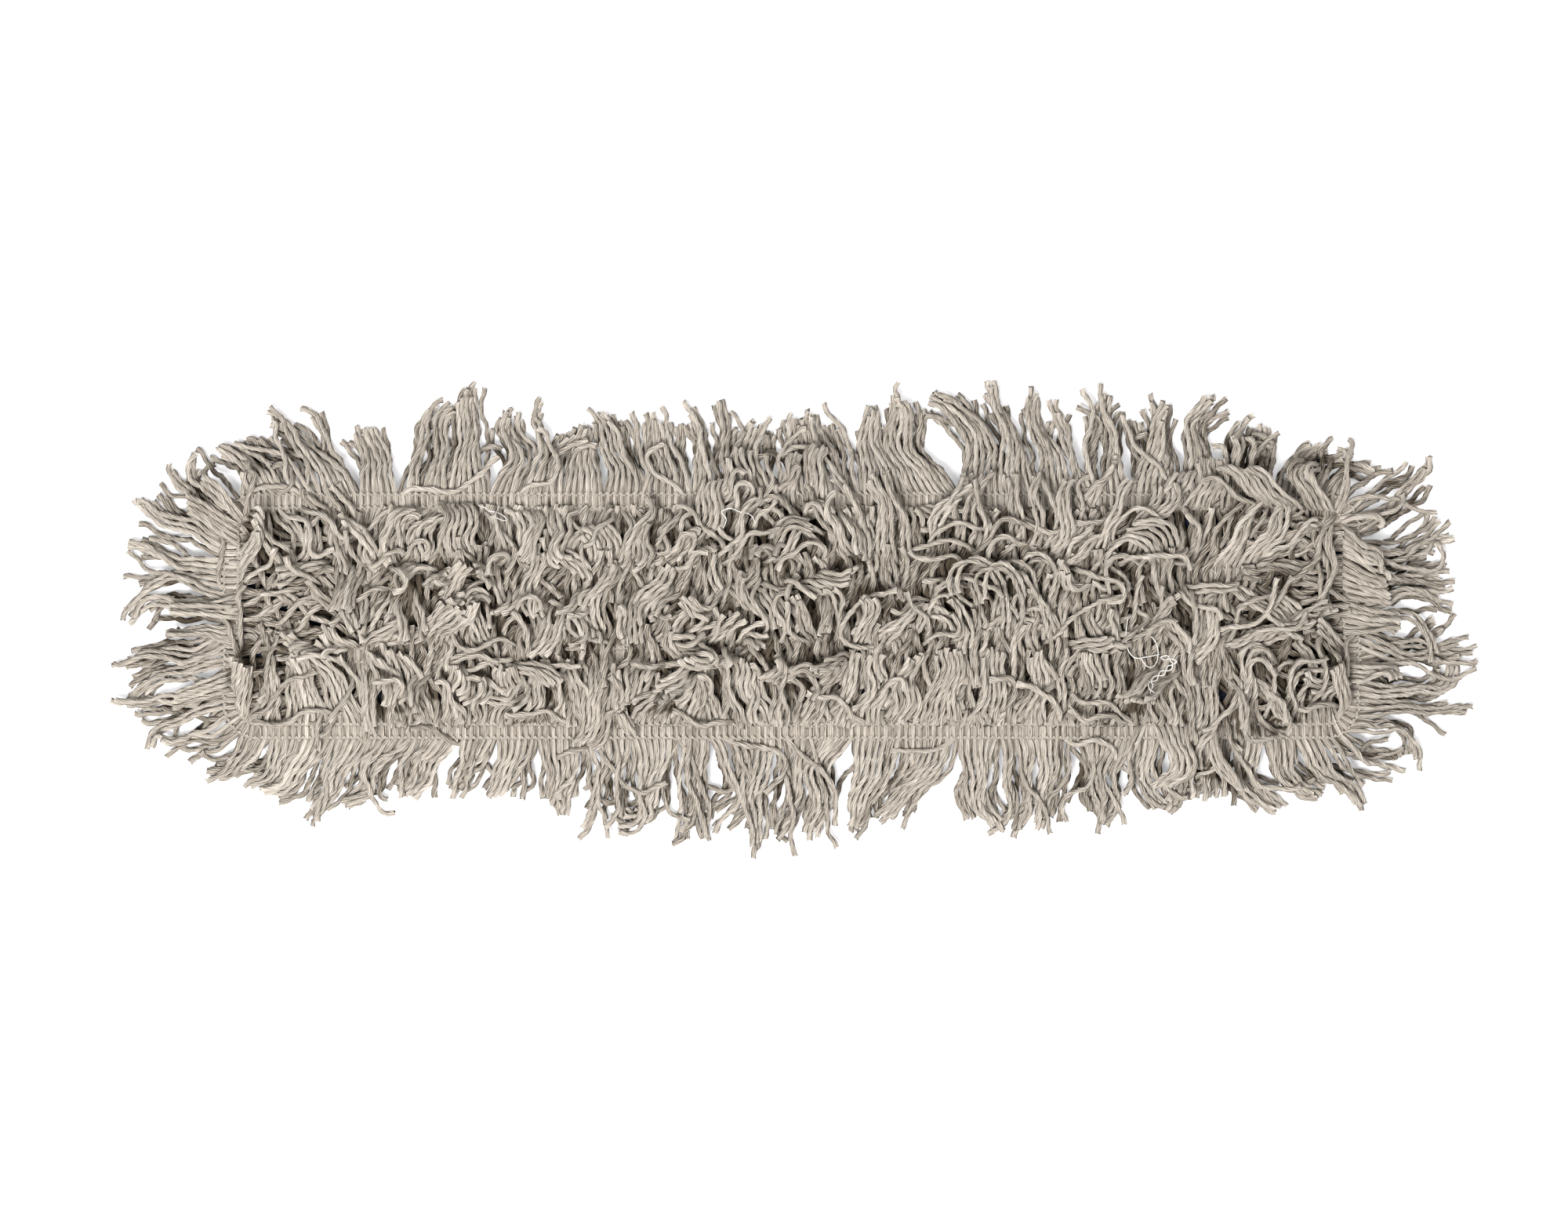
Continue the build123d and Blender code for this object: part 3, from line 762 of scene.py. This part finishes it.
def yarn_tubes(centre):
    """Tubes round lines of points. A normal is carried along each line square to it, and six points turn
    round it once a lay outside the header, three on the crests of the plies and three in the grooves between.
    At the cut ends the crests reach past the grooves, where the plies come apart."""
    way = unit(np.gradient(centre, axis=1))
    up = np.zeros_like(way)
    carried = np.tile([0.0, 0.0, 1.0], (len(centre), 1)) + 0.01
    for k in range(centre.shape[1]):
        carried = unit(carried - (carried * way[:, k]).sum(1, keepdims=True) * way[:, k])
        up[:, k] = carried
    side = np.cross(way, up)
    along = distance_along(centre)
    to_tip = np.minimum(along, along[:, -1:] - along)
    corner = np.arange(SIDES) * 2 * math.pi / SIDES
    phase = rng.uniform(0, 2 * math.pi, (len(centre), 1))
    from_header = along - along[:, [FREE_POINTS + 3]]
    turned = np.sign(from_header) * np.maximum(np.abs(from_header) - TWIST_START, 0)
    angle = (2 * math.pi * turned / LAY + phase)[..., None] + corner
    crest = np.arange(SIDES) % 2 == 0
    ply = 1 + PLY_DEPTH * np.where(crest, 1.0, -1.0)
    slub = 1 + SLUB * np.sin(along / SLUB_LENGTH + 3 * phase) + rng.uniform(*THICKNESS, (len(centre), 1))
    slub[:, : FREE_POINTS + 1] += np.where(upper, 0.0, np.where(outer, 0.2, 0.1))[:, None]
    thick = slub * (1 + FLARE * smooth_step(1 - to_tip / FLARE_LENGTH))
    thick[:, [FREE_POINTS + 1, FREE_POINTS + 5]] *= PINCH
    radius = YARN / 2 * thick[..., None] * ply
    radius[:, [0, -1]] *= np.where(crest, rng.uniform(0.8, 1.2, (len(centre), 2, SIDES)), 0.85)
    ring = np.cos(angle)[..., None] * up[:, :, None] + np.sin(angle)[..., None] * side[:, :, None]
    points = centre[:, :, None] + radius[..., None] * ring
    ragged = np.where(crest, rng.uniform(0, RAGGED, (len(centre), 2, SIDES)), -RAGGED / 3)[..., None]
    points[:, 0] -= ragged[:, 0] * way[:, :1]
    points[:, -1] += ragged[:, 1] * way[:, -1:]
    points[..., 2] = np.maximum(points[..., 2], 0)
    return points, ring, along, to_tip


tubes, outwards, along, to_tip = yarn_tubes(whole)
ring_start = (np.arange(strands)[:, None] * POINTS + np.arange(POINTS)) * SIDES
# a tint that differs at random from strand to strand, less painted shade on the lower layers, which lie under
# the upper ones, most on the outer rows
tone_and_layer_shade = rng.normal(0.5, 0.18, strands) - np.where(upper, 0, np.where(outer, 0.4, 0.2))

# Painted shade: how far each ring lies below the yarn round about it, on a grid of cells, darkens its colour.
# Little of it is painted on the header and where the fringe starts and ends.
COVER_CELL = 0.006
PAINTED_SHADE_FROM = 0.003
PAINTED_SHADE_SPAN = 0.012
HEADER_PAINTED_SHADE = 0.3
cover_at = ((whole[..., :2] - GRID_LOW[:2]) / COVER_CELL).astype(int)
cover = np.zeros((cover_at[..., 0].max() + 3, cover_at[..., 1].max() + 3))
np.maximum.at(cover, (cover_at[..., 0] + 1, cover_at[..., 1] + 1), whole[..., 2])
cover = np.mean([np.roll(cover, at, (0, 1)) for at in AROUND], axis=0)
buried = cover[cover_at[..., 0] + 1, cover_at[..., 1] + 1] - whole[..., 2]
buried[:, SPLIT - 6:SPLIT] *= HEADER_PAINTED_SHADE
into_fringe = np.arange(POINTS - SPLIT) / (POINTS - 1 - SPLIT)
more, less = smooth_step(into_fringe / 0.35), smooth_step((into_fringe - 0.5) / 0.5)
buried[outer, SPLIT:] *= HEADER_PAINTED_SHADE + 0.8 * more - 0.6 * less
seed = rng.random(strands)


def yarn_piece(name, chosen, first, last):
    """The stretch from one ring to another of chosen strands, closed at both ends by two quads."""
    segment = np.arange(POINTS - 1)
    which, ring = np.nonzero((segment >= first[:, None]) & (segment < last[:, None]))
    low = ring_start[chosen[which], ring][:, None]
    v = np.arange(SIDES)
    after = (v + 1) % SIDES
    quads = np.stack([low + v, low + after, low + SIDES + after, low + SIDES + v], axis=-1)
    turn = (v[:, None] + (0, 1, 1, 0)) / SIDES
    height = along[chosen[which, None], ring[:, None] + (0, 0, 1, 1)] / LAY
    uvs = np.stack(np.broadcast_arrays(turn, height[:, None]), axis=-1)
    caps = [ring_start[chosen, at][:, None, None] + cap for at, cap in ((first, CAP), (last, CAP[:, ::-1]))]
    every = np.concatenate([part.reshape(-1, 4) for part in (quads, *caps)])
    all_uvs = np.zeros((len(every), 8))
    all_uvs[: quads.size // 4] = uvs.reshape(-1, 8)
    used, local = np.unique(every, return_inverse=True)
    strand_of = used // (POINTS * SIDES)
    tip = smooth_step(1 - to_tip.ravel()[used // SIDES] / FLARE_LENGTH)
    # painted shade for yarn that lies below the yarn round about it
    painted_shade = smooth_step((buried.ravel()[used // SIDES] - PAINTED_SHADE_FROM) / PAINTED_SHADE_SPAN)
    # the odd points of a ring lie in the grooves between the plies, where shade is painted
    extra = {"tone_and_layer_shade": tone_and_layer_shade[strand_of], "seed": seed[strand_of], "tip": tip, "groove_shade": used % 2, "painted_shade": painted_shade}
    points, normals = tubes.reshape(-1, 3)[used], outwards.reshape(-1, 3)[used]
    piece = mesh_object(name, points, local.reshape(-1, 4), all_uvs, extra, normals)
    piece.data.materials.append(grey_cotton)
    return piece


def yarn_material():
    """Cotton yarn: painted shade in dark lines between the plies, and fine fibre streaks, both turning with
    the twist; a random tint for each strand, with painted shade on the lower layers; paler cut ends; and
    painted shade where yarn lies low in the pile."""
    material, tree, shader, add = new_material("grey_cotton", {"Roughness": 0.95, "Specular IOR Level": 0.15})

    def scaled_sum(value, scale, rest):
        return add("ShaderNodeMath", {0: value, 1: scale, 2: rest}, operation="MULTIPLY_ADD").outputs[0]

    names = ("seed", "tone_and_layer_shade", "groove_shade", "tip", "painted_shade")
    own = {name: add("ShaderNodeAttribute", attribute_name=name).outputs["Fac"] for name in names}
    uv = add("ShaderNodeUVMap", uv_map="thread").outputs["UV"]
    spread = add("ShaderNodeCombineXYZ", {"Z": scaled_sum(own["seed"], 50.0, 0.0)})
    streaks = add("ShaderNodeMapping", {"Vector": uv, "Scale": (FIBRES, FIBRE_TURNS, 1.0)})
    place = add("ShaderNodeVectorMath", {0: streaks.outputs[0], 1: spread.outputs[0]}).outputs[0]
    noise = {"Vector": place, "Scale": 1.0, "Detail": 3.0, "Roughness": 0.6}
    fibre = add("ShaderNodeTexNoise", noise).outputs["Fac"]
    around = add("ShaderNodeSeparateXYZ", {"Vector": uv}).outputs["X"]
    # stripes that turn with the twist: a bump of the plies, and painted shade between them in the colour
    turned = scaled_sum(around, 2 * math.pi * PLY_LINES, scaled_sum(fibre, 2.5, 0.0))
    wave = add("ShaderNodeMath", {0: turned}, operation="SINE").outputs[0]
    own.update(wave=wave, fibre=fibre)
    shade = -0.25
    for name, weight in SHADE_WEIGHTS.items():
        shade = scaled_sum(own[name], weight, shade)
    colour = colour_ramp(add, shade, (0.12, COTTON_DARK), (0.92, COTTON_PALE), [(0.50, COTTON)])
    height = scaled_sum(wave, 0.25, fibre)
    bump = add("ShaderNodeBump", {"Height": height, "Strength": 0.9, "Distance": 0.0007})
    tree.links.new(colour, shader.inputs["Base Color"])
    tree.links.new(bump.outputs["Normal"], shader.inputs["Normal"])
    return material


FIBRES = 18.0  # streaks side by side round a strand
FIBRE_TURNS = 4.5
PLY_LINES = 6.0
# Shares of the marks in the colour: the lines between the plies, the darker lower layers and yarn lying low
# in the pile are painted shade
SHADE_WEIGHTS = {"tone_and_layer_shade": 0.30, "groove_shade": -0.13, "wave": 0.10, "tip": 0.06, "painted_shade": -0.60, "fibre": 1.35}
COTTON_DARK = (0.075, 0.058, 0.040)
COTTON = (0.365, 0.325, 0.277)
COTTON_PALE = (0.62, 0.565, 0.495)
grey_cotton = yarn_material()

# Strands near the fold are cut into slices of their own. All others are cut by half of the head and by row,
# with the fringe of an outer row as a piece apart.
FOLD_SLICES = 8
BLEND_SPAN = 10.0  # so long that every strand of a slice has nearly the same share
FOLD_FRINGE = 0.006  # from the fold to the first strand that swings with a fringe
side_name = np.where(root[:, 0] > 0, "right", "left")
edge_name = np.where(root[:, 1] > 0, "rear", "front")
in_fold = (np.abs(root[:, 0]) < FOLD_REACH) & ~at_end
fringe_in_fold = (np.abs(root[:, 0]) < FOLD_FRINGE) & ~at_end


def add_yarn(name, chosen, first, last, node):
    """A piece of yarn from one half of the head, which stands in for a node of the model that is hidden."""
    whole_row = np.full(len(chosen), 1)
    piece = yarn_piece(name, chosen, whole_row * first, whole_row * last)
    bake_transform(piece)
    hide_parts(node)


for side in ("left", "right"):
    here = side_name == side
    end = np.flatnonzero(at_end & here)
    fringe = f"end_fringe_{side}"
    add_yarn(f"end_yarn_{side}", end, 0, SPLIT, f"end_row_{side}")
    add_yarn(f"end_fringe_yarn_{side}", end, SPLIT, POINTS - 1, fringe)
    for edge in ("rear", "front"):
        row = outer & ~at_end & here & (edge_name == edge)
        fringe = f"{edge}_fringe_{side}"
        chosen = np.flatnonzero(row & ~in_fold)
        add_yarn(f"{edge}_yarn_{side}", chosen, 0, SPLIT, f"{edge}_row_{side}")
        chosen = np.flatnonzero(row & ~fringe_in_fold)
        add_yarn(f"{edge}_fringe_yarn_{side}", chosen, SPLIT, POINTS - 1, fringe)
        chosen = np.flatnonzero(~outer & here & (edge_name == edge) & ~in_fold)
        node = f"{edge}_inner_row_{side}"
        add_yarn(f"{edge}_inner_yarn_{side}", chosen, 0, POINTS - 1, node)

slice_number = np.floor((root[:, 0] + FOLD_REACH) / (2 * FOLD_REACH) * FOLD_SLICES).astype(int)
for number in range(FOLD_SLICES):
    chosen = np.flatnonzero(in_fold & (slice_number == number))
    last = np.where(outer[chosen] & ~fringe_in_fold[chosen], SPLIT, POINTS - 1)
    piece = yarn_piece(f"fold_yarn_{number + 1}", chosen, np.zeros(len(chosen), int), last)
    turn_share = (number + 0.5) / FOLD_SLICES
    low = (-turn_share * BLEND_SPAN, 0, 0)
    high = ((1 - turn_share) * BLEND_SPAN, 0, 0)
    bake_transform(piece)

# Header stitching
# Two lines of chain stitch in soft thread of the yarn's own grey hold each header to the backing. A stitch
# is a loop through the loop before it, one to each strand of the upper layer.
CHAIN_THREAD = 0.0014
CHAIN_BACK = 0.0009  # how far a loop runs back through the one before
CHAIN_WIDE = 0.0009
CHAIN_RISE = 0.0005
CHAIN_HEIGHT = HEADER_HEIGHT + LAYER_RISE + PINCH * YARN / 2 - 0.0004
POINTS_PER_STITCH = 10
HEXAGON = np.arange(6) * math.pi / 3
GREY_THREAD = (0.40, 0.36, 0.31)
FLECK = 0.6  # colour of the darkest flecks, as a share of the thread's


def tube_rings(centre, radius):
    """Rings of six points round lines that lie nearly level, square to the line."""
    way = unit(np.gradient(centre, axis=-2))
    side = unit(np.cross(way, (0.0, 0.0, 1.0)))
    up = np.cross(side, way)
    around = np.cos(HEXAGON)[:, None] * up[..., None, :] + np.sin(HEXAGON)[:, None] * side[..., None, :]
    return centre[..., None, :] + np.asarray(radius)[..., None, None] * around


def stitch_piece(name, rings, material):
    """One mesh of many lengths of thread, each a run of rings of six points, closed at both ends."""
    count, length = rings.shape[:2]
    one = np.concatenate([grid_quads(length, 6, closed=True), CAP, CAP[:, ::-1] + 6 * (length - 1)])
    quads = (np.arange(count)[:, None, None] * 6 * length + one).reshape(-1, 4)
    piece = mesh_object(name, rings.reshape(-1, 3), quads)
    piece.data.materials.append(material)
    return piece


def round_place(distance):
    """The whole outer header, from the middle of the right end, anticlockwise: four mirrored quarters."""
    number = np.floor(distance / quarter).astype(int) % 4
    within = distance % quarter
    place, square = loop_place(np.where(number % 2, quarter - within, within))
    return signs[number] * place, signs[number] * square


def chain_line(place, begin, end, offset):
    """A line of chain stitch. The thread swings across once a stitch and runs back on itself twice."""
    stitches = int(round((end - begin) / PITCH))
    turn = np.linspace(0, 2 * math.pi * stitches, stitches * POINTS_PER_STITCH + 1)
    middle, square = place(begin + (end - begin) * turn / turn[-1] - CHAIN_BACK * np.sin(2 * turn))
    level = middle + square * (offset + CHAIN_WIDE * np.cos(turn))[:, None]
    height = CHAIN_HEIGHT + CHAIN_RISE * np.cos(2 * turn)
    return tube_rings(np.concatenate([level, height[:, None]], axis=-1), CHAIN_THREAD / 2)[None]


def inner_place(sign):
    """The straight inner header on one side of the middle line."""
    square = np.array([0.0, sign])
    return lambda d: (np.stack([d, np.full(d.shape, sign * INNER_ROW)], -1), np.tile(square, (len(d), 1)))


end_part = HALF_WIDTH - CORNER_RADIUS + corner_turn * END_TURN
header_runs = {
    "rear": (round_place, end_part, 2 * quarter - end_part),
    "left": (round_place, 2 * quarter - end_part, 2 * quarter + end_part),
    "front": (round_place, 2 * quarter + end_part, 4 * quarter - end_part),
    "right": (round_place, 4 * quarter - end_part, 4 * quarter + end_part),
    "rear_inner": (inner_place(1), -INNER_END, INNER_END),
    "front_inner": (inner_place(-1), -INNER_END, INNER_END),
}


def thread_material(name, colour):
    """Matt sewing thread with fine flecks."""
    material, tree, shader, add = new_material(name, {"Roughness": 0.9, "Specular IOR Level": 0.2})
    place = add("ShaderNodeTexCoord").outputs["Object"]
    fleck = add("ShaderNodeTexNoise", {"Vector": place, "Scale": 1400.0, "Detail": 2.0}).outputs["Fac"]
    dark = [FLECK * part for part in colour]
    tree.links.new(colour_ramp(add, fleck, (0.25, dark), (0.65, colour)), shader.inputs["Base Color"])
    return material


grey_thread = thread_material("grey_thread", GREY_THREAD)
for name, run in header_runs.items():
    lines = np.concatenate([chain_line(*run, sign * STITCH_OFFSET) for sign in (1, -1)])
    piece = stitch_piece(f"{name}_stitches", lines, grey_thread)
    if name in ("left", "right"):
        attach(piece, f"{name}_half")
        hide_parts(f"end_seam_{name}")
    else:
        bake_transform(piece)
        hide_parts(f"{name}_seam_left", f"{name}_seam_right")

# Pocket stitching
# Lockstitch in white thread through the flange of each pocket and the backing, and along the hem of its
# mouth. From below it shows as a line of short dashes.
DASH = 0.0032
DASH_PITCH = 0.0042
DASH_THREAD = 0.0009
SEAM_INSET = 0.0015
HEM_SEAM_INSET = 0.002
HEM_SEAM_HEIGHT = 0.0003
WHITE_THREAD = (0.82, 0.80, 0.76)
white_thread = thread_material("white_thread", WHITE_THREAD)


def dashes(path, height):
    """Short level dashes with thin ends at even steps along a path in the plane."""
    far = distance_along(path)
    count = int(far[-1] / DASH_PITCH)
    middle = (np.arange(count) + 0.5) * far[-1] / count
    distance = middle[:, None] + np.array([-0.5, -0.36, 0.36, 0.5]) * DASH
    x = np.interp(distance, far, path[:, 0])
    y = np.interp(distance, far, path[:, 1])
    centre = np.stack([x, y, np.full(x.shape, height)], axis=-1)
    return tube_rings(centre, DASH_THREAD / 2 * np.array([0.4, 1, 1, 0.4]))


turn = np.linspace(0, math.pi / 2, 13)
bend = CORNER_RADIUS - SEAM_INSET
seam_x = np.concatenate([[MOUTH], HALF_LENGTH - CORNER_RADIUS + bend * np.sin(turn)])
seam_y = np.concatenate([[HALF_WIDTH - SEAM_INSET], HALF_WIDTH - CORNER_RADIUS + bend * np.cos(turn)])
one_side = np.stack([seam_x, -seam_y], axis=-1)
seam_path = np.concatenate([one_side, one_side[::-1] * np.array([1, -1])])
seam_dashes = dashes(seam_path, BACK_UNDER - CANVAS)
hem_end = np.array([MOUTH + HEM - HEM_SEAM_INSET, HALF_WIDTH - 2 * (FLANGE + WALL)])
hem_dashes = dashes(hem_end * np.array([(1, -1), (1, 1)]), HEM_SEAM_HEIGHT)
for side, sign in (("right", 1), ("left", -1)):
    rings = np.concatenate([seam_dashes, hem_dashes]) * np.array([sign, sign, 1])
    piece = stitch_piece(f"pocket_stitches_{side}", rings, white_thread)
    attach(piece, f"{side}_half")
    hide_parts(f"pocket_seam_{side}")

# Loose thread ends
# Ends of the white sewing thread that have worked up through the pile and lie on it in small loops. At the
# right a short run of chain stitch has come loose with them.
TAIL = 0.0005
TAIL_CLIMB = 0.0016  # from a thread's start to its end, so that it crosses over itself
TAILS = {
    "left_rear": [
        (-168.9, 59.7), (-164.5, 58.4), (-164.3, 56.9), (-162.1, 56.4), (-160.0, 56.2), (-158.7, 55.9),
        (-156.2, 54.8), (-154.1, 52.9), (-153.8, 51.6), (-155.8, 51.5), (-158.1, 52.7), (-159.8, 53.1),
        (-159.4, 55.0), (-158.7, 56.9), (-158.1, 59.3),
    ],
    "left_middle": [
        (-36.8, 47.4), (-34.8, 51.2), (-35.6, 53.6), (-38.3, 56.2), (-35.1, 57.8), (-32.1, 58.0),
        (-30.2, 57.2), (-27.8, 55.9), (-25.3, 55.5), (-23.2, 55.3), (-21.0, 53.8), (-19.8, 50.8),
    ],
    "right_rear": [
        (181.5, -1.7), (180.6, -6.2), (180.2, -12.5), (181.3, -18.5), (184.0, -22.1), (186.8, -22.9),
        (189.8, -22.2), (194.0, -21.6), (198.3, -20.6),
    ],
    "right_middle": [
        (188.9, -6.6), (193.6, -10.8), (196.6, -13.8), (198.1, -18.9), (197.6, -24.0), (195.3, -27.4),
        (191.9, -27.6), (189.8, -25.3), (188.1, -22.3),
    ],
}
CHAIN_TAIL = np.array([
    (199.5, -22.3), (203.4, -22.5), (206.8, -24.9), (202.9, -28.7), (197.4, -32.1), (193.2, -35.5),
    (192.7, -39.3), (194.9, -44.4),
]) / 1000
TAIL_LOOPS = 7
TAIL_WIDE = 0.0012
TAIL_RISE = 0.0004
TAIL_CHAIN = 0.0006
PILE_REACH = 0.0025  # within which yarn carries a thread
yarn_places = whole.reshape(-1, 3)


def pile_top(places):
    """Height of the yarn at places, evened out along them."""
    near = np.linalg.norm(yarn_places[None, :, :2] - places[:, None], axis=-1) < PILE_REACH
    height = np.where(near, yarn_places[:, 2], BACK_TOP).max(axis=1)
    return np.convolve(np.pad(height, 2, mode="edge"), (0.1, 0.2, 0.4, 0.2, 0.1), mode="valid") + YARN / 2


def spline_length(points):
    """Length of a curve of order three: between the middles of its legs it bends towards each point."""
    middle = (points[1:-2] + points[2:-1]) / 2
    begin = np.concatenate([points[:1], middle])[:, None]
    end = np.concatenate([middle, points[-1:]])[:, None]
    t = np.linspace(0, 1, 9)[:, None]
    places = (1 - t) ** 2 * begin + 2 * t * (1 - t) * points[1:-1, None] + t**2 * end
    return np.linalg.norm(np.diff(places, axis=1), axis=-1).sum()


for name, places in TAILS.items():
    places = np.array(places) / 1000
    height = pile_top(places) + TAIL + TAIL_CLIMB * np.linspace(0, 1, len(places))
    places = np.column_stack([places, height])
    curve = bpy.data.curves.new(f"thread_end_{name}", "CURVE")
    curve.dimensions = "3D"
    curve.bevel_depth = TAIL / 2
    curve.bevel_resolution = 1
    curve.resolution_u = 8
    spline = curve.splines.new("NURBS")
    spline.points.add(len(places) - 1)
    spline.points.foreach_set("co", np.column_stack([places, np.ones(len(places))]).ravel())
    spline.order_u = 3
    spline.use_endpoint_u = True
    curve.materials.append(white_thread)
    thread = bpy.data.objects.new(f"thread_end_{name}", curve)
    bpy.context.scene.collection.objects.link(thread)
    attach(thread, f"{name.split('_')[0]}_half")
    long = spline_length(places)

far = distance_along(CHAIN_TAIL)
turn = np.linspace(0, math.pi * TAIL_LOOPS, 12 * TAIL_LOOPS + 1)
distance = far[-1] * turn / turn[-1]
middle = np.column_stack([np.interp(distance, far, CHAIN_TAIL[:, k]) for k in (0, 1)])
way = unit(np.column_stack([np.interp(distance, far, np.gradient(CHAIN_TAIL[:, k], far)) for k in (0, 1)]))
beside_way = np.column_stack([-way[:, 1], way[:, 0]])
height = np.interp(distance, far, pile_top(CHAIN_TAIL)) + 2 * TAIL
loops = []
for sign in (1, -1):
    level = middle + sign * TAIL_WIDE * np.sin(turn)[:, None] * beside_way
    wound = np.column_stack([level, height + sign * TAIL_RISE * np.cos(turn)])
    loops.append(tube_rings(wound, TAIL_CHAIN / 2))
piece = stitch_piece("chain_tail", np.stack(loops), white_thread)
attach(piece, "right_half")

# Floor
# A plain white floor that shows as pure white and keeps the shadow of the object. Far from the object, where
# the lamps hardly reach it, it glows more, so that it meets the white room without an edge.
WHITE = (1, 1, 1, 1)
FLOOR_LEVEL = -0.0003
FLOOR_HALF = 4
FLOOR_FINISH = {"Base Color": (0.80, 0.79, 0.80, 1), "Roughness": 1.0, "Specular IOR Level": 0.0}
FLOOR_GLOW = 0.35
GLOW_NEAR = 0.7
GLOW_FAR = 2.2


def seen_directly(add):
    """1 for what the eye sees, also in a mirror or through glass, and 0 for what lights other things."""
    rays = add("ShaderNodeLightPath").outputs
    seen = rays["Is Camera Ray"]
    for kind in ("Is Glossy Ray", "Is Transmission Ray"):
        seen = add("ShaderNodeMath", {0: seen, 1: rays[kind]}, operation="MAXIMUM").outputs[0]
    return seen


floor_corners = np.column_stack([FLOOR_HALF * np.roll(signs, 2, axis=0), np.full(4, FLOOR_LEVEL)])
floor = mesh_object("floor", floor_corners, np.array([(0, 1, 2, 3)]))
material, tree, shader, add = new_material("white_floor", FLOOR_FINISH)
place = add("ShaderNodeNewGeometry").outputs["Position"]
away = add("ShaderNodeVectorMath", {0: place}, operation="LENGTH").outputs["Value"]
far_glow = {"Value": away, "From Min": GLOW_NEAR, "From Max": GLOW_FAR, "To Min": FLOOR_GLOW, "To Max": 1.0}
strength = add("ShaderNodeMapRange", far_glow).outputs["Result"]
glow = add("ShaderNodeEmission", {"Color": WHITE, "Strength": strength})
both = add("ShaderNodeAddShader", {0: shader.outputs[0], 1: glow.outputs[0]})
pick = add("ShaderNodeMixShader", {0: seen_directly(add), 1: shader.outputs[0], 2: both.outputs[0]})
tree.links.new(pick.outputs[0], tree.nodes["Material Output"].inputs["Surface"])
floor.data.materials.append(material)

# Light and camera
# Two large soft panels above, a pale room, and a camera that looks straight down.
ROOM_LIGHT = 0.28
VIEW_CENTRE = (-0.004, 0.006)
VIEW_WIDTH = 0.850
VIEW_LEVEL = 0.012  # height at which the view has that width
LENS = 85.0
SENSOR = 36.0
scene = bpy.context.scene
scene.view_settings.view_transform = "Standard"
world = bpy.data.worlds.new("pale_room")
scene.world = world
world.use_nodes = True
tree = world.node_tree
add = node_adder(tree)
room = tree.nodes["Background"]
room.inputs["Color"].default_value = WHITE
room.inputs["Strength"].default_value = ROOM_LIGHT
backdrop = add("ShaderNodeBackground", {"Color": WHITE, "Strength": 1.0})
pick = add("ShaderNodeMixShader", {0: seen_directly(add), 1: room.outputs[0], 2: backdrop.outputs[0]})
tree.links.new(pick.outputs[0], tree.nodes["World Output"].inputs["Surface"])


def panel(name, place, size, power):
    """A square soft light at a place, turned to the middle of the object."""
    lamp = bpy.data.lights.new(name, "AREA")
    lamp.size = size
    lamp.energy = power
    made = bpy.data.objects.new(name, lamp)
    scene.collection.objects.link(made)
    made.location = place
    made.rotation_mode = "QUATERNION"
    made.rotation_quaternion = Vector(place).to_track_quat("Z", "Y")


panel("key_panel", (-0.5, -0.7, 1.8), 0.9, 70)
panel("fill_panel", (0.8, 0.9, 1.8), 1.4, 20)

camera = bpy.data.cameras.new("camera")
camera.lens = LENS
camera.sensor_width = SENSOR
eye = bpy.data.objects.new("camera", camera)
scene.collection.objects.link(eye)
eye.location = (*VIEW_CENTRE, VIEW_WIDTH * LENS / SENSOR + VIEW_LEVEL)
scene.camera = eye
